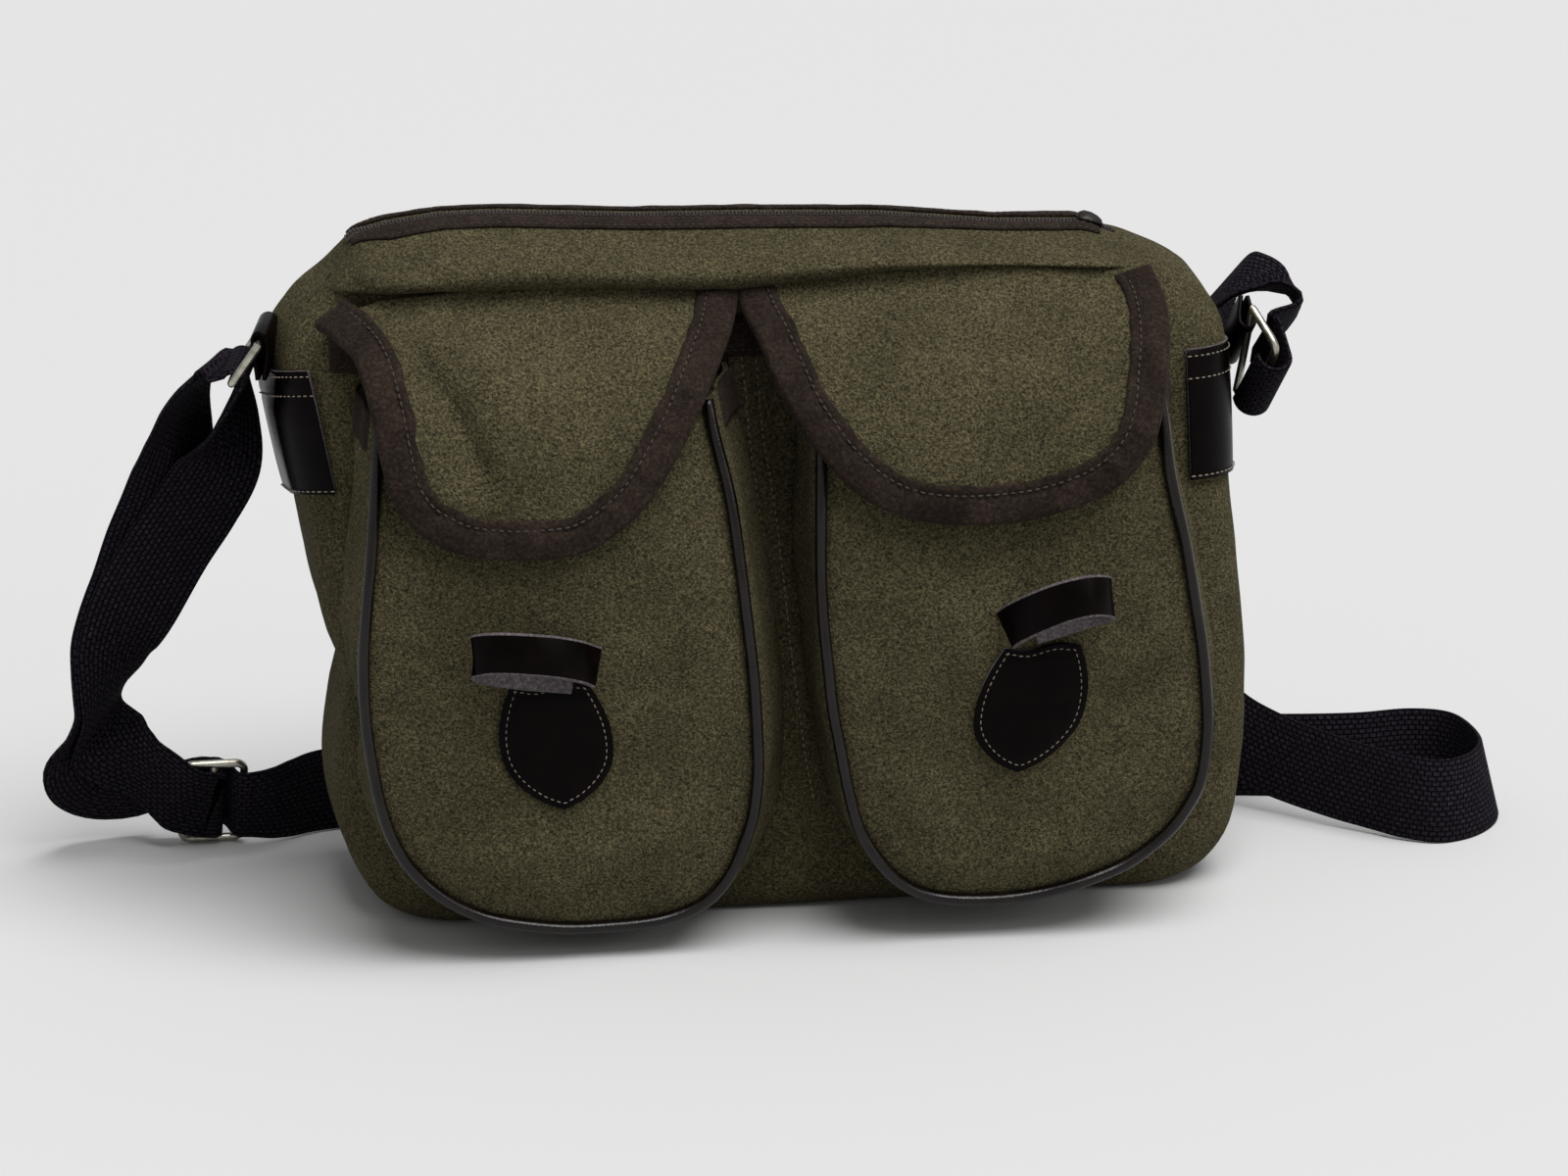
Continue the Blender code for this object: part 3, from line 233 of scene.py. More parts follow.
def smooth_line(rows, count):
    """A smooth curve through the rows, read at count points of equal spacing."""
    rows = np.array(rows, float)
    ends = np.concatenate([[2 * rows[0] - rows[1]], rows, [2 * rows[-1] - rows[-2]]])
    fine = []
    for i in range(1, len(ends) - 2):
        before, start, end, after = ends[i - 1 : i + 3]
        for t in np.linspace(0, 1, 16, endpoint=False):
            bend = (2 * before - 5 * start + 4 * end - after) * t**2
            turn = (3 * start - before - 3 * end + after) * t**3
            fine.append(0.5 * (2 * start + (end - before) * t + bend + turn))
    fine = np.array(fine + [rows[-1]])
    reach = min(3, rows.shape[1])
    along = distance_along(fine[:, :reach])
    wanted = np.linspace(0, along[-1], count)
    return np.stack([np.interp(wanted, along, fine[:, k]) for k in range(rows.shape[1])], axis=1)


def wander(points, size, seed):
    """Smooth noise between about -1 and 1 at each point, with bumps of the given size in mm."""
    places = [Vector((p[0] / size + seed, p[1] / size, p[2] / size)) for p in points]
    return np.array([noise.noise(place) for place in places]) * 1.6


def unevenness(points, waves):
    """Soft unevenness at each point, from waves of a size, a seed and a height."""
    return sum(wander(points, size, seed) * height for size, seed, height in waves)


def fold_depth(x, z, folds):
    """How deep the folds press in at places across and up."""
    total = np.zeros(len(x))
    for line, half_width, depth in folds:
        line = smooth_line(line, 24)
        near = np.full(len(x), 1e9)
        share = np.zeros(len(x))
        for k, (line_x, line_z) in enumerate(line):
            far = np.hypot(x - line_x, z - line_z)
            closer = far < near
            near[closer] = far[closer]
            share[closer] = k / (len(line) - 1)
        fade = np.clip(np.minimum(share, 1 - share) * 4 + 0.15, 0, 1)
        total += depth * fade * np.exp(-((near / half_width) ** 2))
    return total


def make_mesh(name, points, faces, materials, face_materials=None):
    """An object at the origin from points in mm, smooth, with its faces turned outwards by their order."""
    mesh = bpy.data.meshes.new(name)
    mesh.from_pydata([tuple(float(c) * MM for c in p) for p in points], [], faces)
    for material in materials:
        mesh.materials.append(material)
    if face_materials is not None:
        mesh.polygons.foreach_set("material_index", np.array(face_materials, np.int32))
    return new_object(name, mesh)


def new_object(name, data):
    """An object of a mesh or a curve in the scene; a mesh is made smooth and takes the object's name."""
    if isinstance(data, bpy.types.Mesh):
        data.name = name
        data.shade_smooth()
    thing = bpy.data.objects.new(name, data)
    bpy.context.scene.collection.objects.link(thing)
    return thing


def as_mesh(holder):
    """The final mesh of an object, with its modifiers applied."""
    graph = bpy.context.evaluated_depsgraph_get()
    return bpy.data.meshes.new_from_object(holder.evaluated_get(graph))


def grid_faces(rows, columns, flip=False, closed=False):
    """Quads between the points of rows x columns, as seen when the columns run on to the right."""
    faces = []
    for k in range(rows - 1):
        for i in range(columns if closed else columns - 1):
            j = (i + 1) % columns
            a, b = k * columns, (k + 1) * columns
            face = (a + i, a + j, b + j, b + i)
            faces.append(face[::-1] if flip else face)
    return faces


def clean(thing, distance=0.02):
    """Joins points that lie on each other, within a distance in mm."""
    work = bmesh.new()
    work.from_mesh(thing.data)
    bmesh.ops.remove_doubles(work, verts=work.verts, dist=distance * MM)
    work.to_mesh(thing.data)
    work.free()


def wall(thing, thickness, cut_edge=None):
    """Gives a surface its thickness, inwards; its cut edge shows another material where one is given."""
    solid = thing.modifiers.new("wall", "SOLIDIFY")
    solid.thickness = thickness * MM
    solid.offset = -1.0
    if cut_edge is not None:
        thing.data.materials.append(cut_edge)
        solid.use_even_offset = True
        solid.material_offset_rim = 1
    mesh = as_mesh(thing)
    thing.modifiers.clear()
    surface = thing.data
    thing.data = mesh
    bpy.data.meshes.remove(surface)
    mesh.name = thing.name
    mesh.shade_smooth()


def finish_piece(thing, slot, *nodes):
    """The piece rides on the bag and stands for the nodes; the slot is not used."""
    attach(thing, "root")
    if nodes:
        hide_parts(*nodes)


def object_coordinates(tree):
    """The place in the piece's own space."""
    return add_node(tree, "ShaderNodeTexCoord").outputs["Object"]


def noise_at(tree, scale, detail=3.0, roughness=0.5, place=None):
    """Noise over the piece, with about scale spots to a metre."""
    inputs = {"Vector": place or object_coordinates(tree), "Scale": scale, "Detail": detail,
              "Roughness": roughness}
    return add_node(tree, "ShaderNodeTexNoise", inputs).outputs["Fac"]


def relief(tree, shader, height, strength, distance):
    """Small relief in the shading, from a height."""
    made = add_node(tree, "ShaderNodeBump", {"Height": height, "Strength": strength, "Distance": distance})
    tree.links.new(made.outputs[0], shader.inputs["Normal"])


def coloured(tree, shader, colour):
    """Gives the shader its colour from a socket."""
    tree.links.new(colour, shader.inputs["Base Color"])


def blend_colours(tree, factor, first, second, mode="MIX"):
    """Two colours blended by a factor."""
    made = add_node(tree, "ShaderNodeMix", data_type="RGBA", blend_type=mode)
    for index, value in ((0, factor), (6, first), (7, second)):
        if isinstance(value, bpy.types.NodeSocket):
            tree.links.new(value, made.inputs[index])
        else:
            made.inputs[index].default_value = value
    return made.outputs[2]


def ramp(tree, factor, stops):
    """A colour ramp of (place, hex code) stops."""
    made = add_node(tree, "ShaderNodeValToRGB", {"Fac": factor})
    elements = made.color_ramp.elements
    while len(elements) < len(stops):
        elements.new(0.5)
    for element, (place, code) in zip(elements, stops):
        element.position = place
        element.color = srgb(code)
    return made.outputs["Color"]


# Brushed wool felt: fulled, so its weave is hidden under a short raised nap. Fibres of several olive,
# grey and ochre shades lie in all directions, which gives a fine speckle and a soft, matt look.
wool, tree, shader = new_material("brushed wool felt", "#38342a", 0.95, Sheen_Weight=0.05,
                                  Sheen_Roughness=0.5, Specular_IOR_Level=0.06, Sheen_Tint=srgb("#8c8462"))
clump = noise_at(tree, 820.0, 3.0, 0.6)
shade = ramp(tree, clump, ((0.33, "#1f1c12"), (0.46, "#363223"), (0.55, "#433e2c"), (0.68, "#605a42")))
# The nap's two ways: turn, stretch, where on the ramp the strands start and end, and their colour
NAP = (
    ((0.5, 0.9, 0.7), (1300, 330, 1300), 0.54, 0.76, "#655e45"),
    ((-0.6, -0.8, 0.3), (380, 1400, 1300), 0.56, 0.78, "#57513d"),
)
lit, naps = shade, []
for turn, stretch, start, end, colour in NAP:
    inputs = {"Vector": object_coordinates(tree), "Rotation": turn, "Scale": stretch}
    lain = add_node(tree, "ShaderNodeMapping", inputs).outputs[0]
    naps.append(noise_at(tree, 1.0, 2.0, place=lain))
    strands = ramp(tree, naps[-1], ((start, "#000000"), (end, "#ffffff")))
    lit = blend_colours(tree, strands, lit, srgb(colour))
clouds = ramp(tree, noise_at(tree, 30.0, 2.0), ((0.30, "#dcdcdc"), (0.70, "#ffffff")))
coloured(tree, shader, blend_colours(tree, 1.0, lit, clouds, "MULTIPLY"))
heights = add_node(tree, "ShaderNodeMath", {0: clump, 1: naps[0]}, operation="ADD")
relief(tree, shader, heights.outputs[0], 0.8, 0.0011)

fine_rows = smooth_line(BODY_ROWS, 2000)
body_rows, since = [fine_rows[0]], 0.0
for before, row in zip(fine_rows, fine_rows[1:]):
    since += np.linalg.norm(row[:5] - before[:5]) / 1.2
    if since > (LOWER_STEP if row[0] < UPPER_FROM else UPPER_STEP):
        body_rows.append(row)
        since = 0.0
body_rows.append(fine_rows[-1])
ridge = np.array(RIDGE_ROWS)
roll = np.array(ROLL_LINE)


def body_ring(left, right, front, back, radius):
    """A rounded rectangle of points, anticlockwise from the front's left end."""
    radius = min(radius, (right - left) / 2 - 0.5, (back - front) / 2 - 0.05)
    corners = (
        (left + radius, front + radius, 180),
        (right - radius, front + radius, 270),
        (right - radius, back - radius, 0),
        (left + radius, back - radius, 90),
    )
    ring = []
    for k, (x, y, start) in enumerate(corners):
        for turn in np.linspace(0, 90, AROUND_CORNER + 1):
            angle = math.radians(start + turn)
            ring.append((x + radius * math.cos(angle), y + radius * math.sin(angle)))
        after_x, after_y, after_start = corners[(k + 1) % 4]
        angle = math.radians(after_start)
        goal = np.array((after_x + radius * math.cos(angle), after_y + radius * math.sin(angle)))
        last = np.array(ring[-1])
        steps = AROUND_SIDE if k % 2 else AROUND_FRONT
        for t in np.linspace(0, 1, steps + 1)[1:-1]:
            ring.append(tuple(last + (goal - last) * t))
    return np.array(ring)


def lifted(x, height):
    """The height with the top's rise added."""
    share = np.clip((height - RIDGE_FROM) / (BODY_ROWS[-1][0] - RIDGE_FROM), 0, None)
    return height + share**1.5 * np.interp(x, ridge[:, 0], ridge[:, 1])


def eased(share):
    """A share held between 0 and 1, with a soft start and end."""
    share = np.clip(share, 0, 1)
    return share**2 * (3 - 2 * share)


def left_bulge(x, y, height):
    """How much further left the body's left side is than its rows, less towards the front."""
    bulge = np.interp(height, *np.array(LEFT_BULGE).T)
    return bulge * np.clip((-x - 140.0) / 35.0, 0, 1) * np.interp(y, (-30.0, 12.0), (0.45, 1.0))


def body_surface(points, height):
    """A ring of the body moved to its folded and dented place."""
    x, y = points[:, 0], points[:, 1].copy()
    z = lifted(x, np.full(len(x), height))
    for dent_x, dent_z, half_width, half_height, depth, side in DENT_ROWS:
        far = ((x - dent_x) / half_width) ** 2 + ((height - dent_z) / half_height) ** 2
        y -= np.where(y * side > 12, side * depth * np.exp(-far), 0)
    front = np.clip(-y / 30.0, 0, 1)
    y += front * fold_depth(x, z, BODY_FOLDS)
    above = z - np.interp(x, roll[:, 0], roll[:, 1])
    room = BODY_ROWS[-1][0] + np.interp(x, ridge[:, 0], ridge[:, 1]) - z + above
    high = np.clip(room * ROLL_SHARE, ROLL_LEAST, ROLL_HIGH)
    under = np.sqrt(np.clip(1 - ((high - np.clip(above, 0, high)) / high) ** 2, 0, 1))
    over = np.exp(-((np.maximum(above - high, 0) / ROLL_FADE) ** 2)) * eased((-y - ROLL_FRONT) / ROLL_DEPTH)
    nose = np.interp(x, *np.array(ROLL_NOSE).T)
    y += np.minimum(nose - y, 0) * under * over * eased((ROLL_END - x) / ROLL_END_FADE)
    x = x - left_bulge(x, y, height)
    placed = np.stack([x, y, z], axis=1)
    soft = unevenness(placed, BODY_WAVES)
    fade = min(1.0, height / SOFT_BOTTOM) * min(1.0, max(0.0, (SOFT_TOP - height) / SOFT_FADE))
    out = placed[:, :2] - np.stack([np.clip(x, -150, 150), np.zeros(len(x))], axis=1)
    out /= np.maximum(np.linalg.norm(out, axis=1, keepdims=True), 1.0)
    placed[:, :2] += out * (soft * fade)[:, None]
    return placed


body_points = [body_surface(body_ring(*row[1:6]), row[0]) for row in body_rows]
around = len(body_points[0])
faces = grid_faces(len(body_points), around, closed=True)
base = body_points[0]
centre = base.mean(axis=0)
chain = [0]
for share in (0.8, 0.5, 0.2):
    chain.append(len(body_points) * around)
    ring = centre + (base - centre) * share
    ring[:, 2] = 0.0
    body_points.append(ring)
for a, b in zip(chain, chain[1:]):
    for i in range(around):
        j = (i + 1) % around
        faces.append((b + i, b + j, a + j, a + i))
faces.append(tuple(chain[-1] + i for i in reversed(range(around))))
body = make_mesh("wool_body", np.concatenate(body_points), faces, [wool])
clean(body, 0.05)
wall(body, WOOL)
finish_piece(body, "wool_felt", "body_shell")

# The pockets: two bellows pockets of the same felt. Each has a gusset sewn to the body and a crowned
# front panel, with a piped seam between them and a seam pressed flat where the gusset meets the body.
POCKET_EDGE = {
    "left": (
        (-163.0, 234.0), (-164.3, 223.0), (-168.0, 184.0), (-170.5, 162.0), (-172.5, 139.7),
        (-172.5, 117.0), (-171.0, 100.0), (-167.4, 77.5), (-162.6, 60.5), (-154.4, 45.4),
        (-142.7, 33.3), (-128.0, 24.3), (-111.7, 19.6), (-88.9, 16.0), (-64.7, 16.2),
        (-46.8, 18.5), (-33.0, 24.5), (-24.2, 34.9), (-18.3, 48.3), (-14.7, 60.5),
        (-12.9, 77.0), (-12.8, 90.0), (-14.3, 121.0), (-17.9, 152.0), (-22.7, 195.0),
        (-28.8, 223.0), (-31.0, 236.5),
    ),
    "right": (
        (19.8, 234.0), (19.5, 223.0), (19.3, 211.0), (18.4, 185.0), (18.4, 156.5), (19.5, 134.5),
        (22.3, 107.0), (25.5, 88.5), (29.2, 69.0), (33.8, 52.7), (42.4, 38.2),
        (51.7, 28.2), (65.0, 21.5), (86.2, 19.2), (108.4, 21.1), (130.3, 26.8),
        (147.0, 33.0), (163.0, 44.9), (171.4, 57.7), (175.6, 69.6), (177.3, 87.0),
        (177.0, 104.0), (174.7, 127.0), (171.9, 144.0), (168.0, 167.0), (164.3, 184.0),
        (161.0, 202.0), (158.9, 223.0), (157.5, 234.0),
    ),
}
# How much wider to its left and right a pocket is where it meets the body
POCKET_SPREAD = {"left": (5.0, 20.0), "right": (5.0, 12.0)}
POCKET_FLOOR = {"left": 3.2, "right": 5.5}
POCKET_MIDDLE = {"left": -92.0, "right": 98.0}
POCKET_HALF, POCKET_CROWN, POCKET_BELLY, POCKET_WAVE = 84.0, 6.0, 4.0, 1.2
# The front panel's swell inside its piped edge, and how far above its lowest point its rings close
POCKET_SWELL, POCKET_AXIS = 3.0, 68.0
GUSSET_WAVES = ((30.0, 2.0, 1.4),)
SEAM_INSIDE, SEAM_ROOM, MOUTH_RISE, GAP = 7.0, 2.4, 4.3, 0.4
POCKET_WAVES = {
    "left": ((50.0, 5.0, 2.9), (22.0, 9.0, 0.9)),
    "right": ((50.0, 5.6, 2.9), (22.0, 9.0, 0.9)),
}
# How far forward the pockets' fronts reach, as height and depth
POCKET_FRONT_ROWS = (
    (0.0, -84.0), (14.0, -87.0), (40.0, -91.5), (90.0, -94.0), (140.0, -93.0), (190.0, -88.0),
    (225.0, -80.0), (240.0, -74.0),
)
POCKET_FOLDS = {
    "left": (
        (((-165, 112), (-140, 104), (-100, 98)), 9.0, 2.2),
        (((-70, 118), (-45, 128), (-25, 130)), 9.0, 1.8),
        (((-150, 70), (-130, 92), (-112, 98)), 8.0, 1.5),
        (((-60, 40), (-45, 62), (-30, 72)), 9.0, -1.6),
        (((-155, 150), (-120, 160), (-80, 158)), 12.0, 1.5),
        (((-140, 195), (-120, 172), (-95, 165)), 7.0, 1.3),
        (((-130, 40), (-100, 50), (-60, 46)), 10.0, -1.6),
    ),
    "right": (
        (((165, 118), (135, 98), (105, 62)), 9.0, 3.0),
        (((150, 88), (125, 68), (100, 42)), 8.0, 2.4),
        (((168, 142), (150, 118), (140, 102)), 8.0, -1.8),
        (((32, 126), (60, 118), (80, 112)), 10.0, 1.8),
        (((36, 90), (60, 80), (72, 62)), 10.0, 1.4),
        (((60, 168), (90, 170), (140, 176)), 10.0, 1.6),
        (((150, 64), (130, 48), (110, 36)), 8.0, -1.6),
    ),
}
pocket_profile = smooth_line(POCKET_FRONT_ROWS, 90)
EDGE_POINTS = 240


def body_front(x, height):
    """How far forward the plain body reaches at places on its front."""
    rows = np.array(BODY_ROWS)
    left, right, front, corner = (np.interp(height, rows[:, 0], rows[:, k]) for k in (1, 2, 3, 5))
    past = np.maximum(np.maximum(left + corner - x, x - (right - corner)), 0.0)
    return front + corner - np.sqrt(np.maximum(corner**2 - past**2, 0.0))


def pocket_seam(side, x, height):
    """Where points of the pocket's front edge meet the body."""
    rows = np.array(BODY_ROWS)
    left, right = POCKET_SPREAD[side]
    middle = POCKET_MIDDLE[side]
    share = np.minimum(1.0, np.abs(x - middle) / POCKET_HALF)
    out_x = x + np.where(x > middle, right, -left) * share
    out_z = np.maximum(POCKET_FLOOR[side] + 3.0, height - 10.0 * np.maximum(0.0, 1 - height / 70.0))
    out_z = out_z + MOUTH_RISE * np.maximum(0.0, (height - 190.0) / 33.0)
    low = np.interp(out_z, rows[:, 0], rows[:, 1]) + SEAM_INSIDE
    high = np.interp(out_z, rows[:, 0], rows[:, 2]) - SEAM_INSIDE
    out_x = np.clip(out_x, low, high)
    edge = np.minimum(out_x - low, high - out_x) + SEAM_INSIDE
    corner = np.interp(out_z, rows[:, 0], rows[:, 5])
    near = np.maximum(np.maximum(0.3, 1 - edge / corner), 1 - out_z / 30.0)
    return np.stack([out_x, body_front(out_x, out_z) - GAP - SEAM_ROOM * near - 0.6, out_z], axis=1)


def pocket_front(side, x, height):
    """How far forward a pocket's front panel reaches, with its crown and folds."""
    across = (x - POCKET_MIDDLE[side]) / POCKET_HALF
    crown = POCKET_CROWN * np.maximum(0.0, 1 - across**2)
    y = np.interp(height, pocket_profile[:, 0], pocket_profile[:, 1]) - crown
    y = y + fold_depth(x, height, POCKET_FOLDS[side])
    placed = np.stack([x, np.zeros(len(x)), height], axis=1)
    free = np.interp(height, (158.0, 182.0), (1.0, 0.35)) * np.clip((height - 14.0) / 22.0, 0.3, 1)
    return y + unevenness(placed, POCKET_WAVES[side]) * free


def shrunk(edge, middle, share, above):
    """A U-shaped edge drawn in towards an upright line in its middle, which ends above its lowest point."""
    heights = (edge[:, 1] + edge[::-1, 1]) / 2
    axis = np.maximum(heights, edge[:, 1].min() + above)
    goal = np.stack([np.full(len(edge), middle), axis], axis=1)
    return edge + (goal - edge) * share


def gusset_belly(depth):
    """How far out a gusset bulges between the body and the pocket's front, with its folds."""
    return POCKET_BELLY * math.sin(math.pi * depth) + POCKET_WAVE * math.sin(3 * math.pi * depth)


pockets, pocket_edges = {}, {}
for side in ("left", "right"):
    edge = smooth_line(POCKET_EDGE[side], EDGE_POINTS)
    x, z = edge[:, 0], edge[:, 1]
    seam = pocket_seam(side, x, z)
    rim = np.stack([x, pocket_front(side, x, z), z], axis=1)
    away = np.stack([x - POCKET_MIDDLE[side], np.minimum(0.0, z - 90.0)], axis=1)
    away /= np.maximum(np.linalg.norm(away, axis=1, keepdims=True), 1e-6)
    rows = []
    for depth in np.linspace(0, 1, 20):
        row = seam + (rim - seam) * depth
        soft = unevenness(row, GUSSET_WAVES) * math.sin(math.pi * depth)
        row[:, [0, 2]] += away * (gusset_belly(depth) + soft)[:, None]
        row[:, 2] = np.maximum(row[:, 2], POCKET_FLOOR[side])
        rows.append(row)
    for share in (0.012, 0.03, 0.055, 0.09, *np.linspace(0.13, 1.0, 44)):
        inside = shrunk(edge, POCKET_MIDDLE[side], share, POCKET_AXIS)
        swell = POCKET_SWELL * min(1.0, (share / 0.30)) ** 0.6
        y = pocket_front(side, inside[:, 0], inside[:, 1]) - swell
        rows.append(np.stack([inside[:, 0], y, inside[:, 1]], axis=1))
    faces = grid_faces(len(rows), EDGE_POINTS)
    pocket = make_mesh(f"wool_pocket_{side}", np.concatenate(rows), faces, [wool])
    clean(pocket, 0.05)
    wall(pocket, WOOL)
    finish_piece(pocket, "wool_felt", f"pocket_{side}")
    pockets[side] = pocket
    pocket_edges[side] = rim

# The piping: a thin cord covered in smooth dark leather and sewn into the seam round each pocket's front.
# The leather is drawn tight over the cord, so it carries a narrow bright line.
PIPING, PIPING_OUT, PIPING_FORWARD = 5.0, 1.9, 2.1


def add_line(curve, points):
    """An open line through points in mm, added to a curve."""
    spline = curve.splines.new("POLY")
    spline.points.add(len(points) - 1)
    for spot, point in zip(spline.points, points):
        spot.co = (*(float(c) * MM for c in point), 1.0)
    return spline


def tube(name, points, diameter, material, cyclic=False):
    """A round wire or cord as a mesh, from points in mm."""
    curve = bpy.data.curves.new(name, "CURVE")
    curve.dimensions = "3D"
    curve.bevel_depth = diameter / 2 * MM
    curve.bevel_resolution = 5
    curve.use_fill_caps = True
    curve.materials.append(material)
    add_line(curve, points).use_cyclic_u = cyclic
    holder = new_object(name + "_line", curve)
    thing = new_object(name, as_mesh(holder))
    bpy.data.objects.remove(holder, do_unlink=True)
    thing.data.set_sharp_from_angle(angle=math.radians(50))
    clean(thing, 0.001)
    return thing


def leather_material(name, base, dark, light, roughness, gloss, grain):
    """Finished leather: a fine pebbled grain about grain mm across, with slow changes of tone and gloss."""
    made, tree, shader = new_material(name, base, roughness, Specular_IOR_Level=gloss)
    tone = noise_at(tree, 90.0)
    coloured(tree, shader, ramp(tree, tone, ((0.32, dark), (0.52, base), (0.75, light))))
    span = {"Value": tone, "To Min": roughness - 0.07, "To Max": roughness + 0.1}
    tree.links.new(add_node(tree, "ShaderNodeMapRange", span).outputs[0], shader.inputs["Roughness"])
    inputs = {"Vector": object_coordinates(tree), "Scale": 1000.0 / grain}
    pebbles = add_node(tree, "ShaderNodeTexVoronoi", inputs)
    relief(tree, shader, pebbles.outputs["Distance"], 0.18, 0.0003)
    return made


piping_leather = leather_material("tight smooth leather", "#0b0504", "#060302", "#120a08", 0.25, 0.3, 0.8)
for side, edge in pocket_edges.items():
    way = unit(np.gradient(edge[:, [0, 2]], axis=0))
    path = edge.copy()
    path[:, [0, 2]] += np.stack([way[:, 1], -way[:, 0]], axis=1) * PIPING_OUT
    path[:, 1] -= PIPING_FORWARD
    piping = tube(f"leather_piping_{side}", path, PIPING, piping_leather)
    finish_piece(piping, "piping_leather", f"pocket_piping_{side}")

# The flaps: one layer of the felt each, sewn on under the rolled top, coming forward over the pocket's
# mouth and hanging down its front. They keep soft creases where the cloth is pushed in.
FLAP_EDGE = {
    "left": (
        (-184.5, 264.5), (-177.5, 262.0), (-170.8, 256.5), (-167.2, 243.5), (-165.5, 234.0),
        (-163.2, 219.0), (-159.9, 207.0), (-154.2, 198.0), (-146.7, 191.5), (-135.5, 186.0),
        (-120.0, 183.2), (-99.0, 182.3), (-84.0, 184.5), (-70.0, 192.5), (-57.6, 204.2),
        (-43.5, 224.0), (-32.7, 241.0), (-24.5, 253.7), (-16.7, 265.0), (-11.8, 274.0),
    ),
    "right": (
        (-10.5, 275.0), (-7.7, 266.0), (-4.2, 259.0), (1.8, 243.7), (7.2, 231.7),
        (16.1, 218.6), (26.2, 206.7), (38.9, 197.0), (57.0, 190.3), (80.6, 188.0),
        (101.0, 188.9), (121.2, 193.5), (137.6, 201.0), (150.5, 213.5), (156.5, 226.5),
        (160.0, 240.0), (163.0, 251.0), (164.3, 260.0), (164.0, 267.0), (161.5, 274.5),
    ),
}
# How far forward the flaps reach, as height, depth and share of the pockets' crown
FLAP_ROWS = (
    (160.0, -101.5, 1.0), (185.0, -100.0, 1.0), (205.0, -97.5, 1.0), (225.0, -92.0, 0.9),
    (240.0, -84.5, 0.7), (252.0, -74.5, 0.45), (262.0, -62.0, 0.2), (270.0, -47.0, 0.0),
    (277.0, -41.0, 0.0), (284.0, -38.0, 0.0),
)
FLAP_FOLDS = {
    "left": (
        (((-152, 264), (-143, 248), (-133, 232), (-127, 218), (-121, 202)), 7.0, 7.5),
        (((-128, 262), (-116, 244), (-108, 226)), 9.0, -2.5),
        (((-160, 254), (-154, 236), (-146, 215)), 6.0, -2.0),
        (((-60, 255), (-70, 230), (-90, 205)), 12.0, 1.2),
        (((-172, 262), (-150, 266), (-120, 266)), 4.0, 1.5),
    ),
    "right": (
        (((140, 255), (120, 230), (95, 208)), 14.0, 1.4),
        (((20, 262), (40, 240), (60, 220)), 12.0, 1.2),
        (((150, 235), (132, 214), (120, 200)), 6.0, -1.0),
    ),
}
FLAP_WAVES = ((38.0, 1.7, 1.0), (16.0, 4.2, 0.3))
FLAP_AXIS = 34.0
# How much further up under the roll each flap's cloth goes than its two ends
FLAP_TOP = {
    "left": (
        (-184.5, 0.0), (-174.0, 4.0), (-160.0, 8.5), (-120.0, 8.5), (-60.0, 5.5), (-25.0, 2.0), (-11.8, 0.0),
    ),
    "right": (
        (-10.5, 0.0), (10.0, 2.5), (52.0, 5.0), (90.0, 4.0), (125.0, 1.0), (150.0, 0.0), (161.5, 0.0),
    ),
}
# The binding's width, its room over the cloth, how far in its stitches are, and its pucker
BINDING_WIDTH, BINDING_ROOM, BINDING_SEAM = 14.0, 0.5, 0.74
PUCKER_WAVES = ((6.0, 2.2, 1.3),)
SUEDE = 1.2
flap_profile = smooth_line(FLAP_ROWS, 120)
flap_profile = flap_profile[np.argsort(flap_profile[:, 0])]


def flap_points(side, x, height, out=0.0):
    """Points on a flap's middle surface, moved out of it by a distance."""
    across = (x - POCKET_MIDDLE[side]) / POCKET_HALF

    def depth(level):
        y = np.interp(level, flap_profile[:, 0], flap_profile[:, 1])
        crown = np.interp(level, flap_profile[:, 0], flap_profile[:, 2])
        y = y - crown * POCKET_CROWN * np.maximum(0.0, 1 - across**2)
        back = np.clip((-162.0 - x) / 22.0, 0, 1) ** 1.4 * np.clip((level - 244.0) / 20.0, 0, 1)
        return y + 19.0 * back + fold_depth(x, level, FLAP_FOLDS[side])

    placed = np.stack([x, np.zeros(len(x)), height], axis=1)
    fade = np.clip((272.0 - height) / 16.0, 0, 1)
    y = depth(height) + unevenness(placed, FLAP_WAVES) * fade
    slope = depth(height + 1.0) - depth(height - 1.0)
    tilt = unit(np.stack([np.zeros(len(x)), -np.full(len(x), 2.0), slope], axis=1))
    return np.stack([x, y, height], axis=1) + tilt * out


flap_edges, flaps = {}, {}
for side in ("left", "right"):
    edge = smooth_line(FLAP_EDGE[side], 200)
    flap_edges[side] = edge
    middle = (edge[:, 0].min() + edge[:, 0].max()) / 2
    rows = []
    for share in np.linspace(0.0, 1.0, 44):
        inside = shrunk(edge, middle, share, FLAP_AXIS)
        higher = np.interp(inside[:, 0], *np.array(FLAP_TOP[side]).T) * min(1.0, share * 8)
        inside[:, 1] += higher * np.clip((inside[:, 1] - 246.0) / 20.0, 0, 1)
        rows.append(flap_points(side, inside[:, 0], inside[:, 1], WOOL / 2))
    faces = grid_faces(len(rows), len(edge))
    flap = make_mesh(f"wool_flap_{side}", np.concatenate(rows), faces, [wool])
    clean(flap, 0.05)
    wall(flap, WOOL)
    finish_piece(flap, "wool_felt", f"flap_{side}")
    flaps[side] = flap

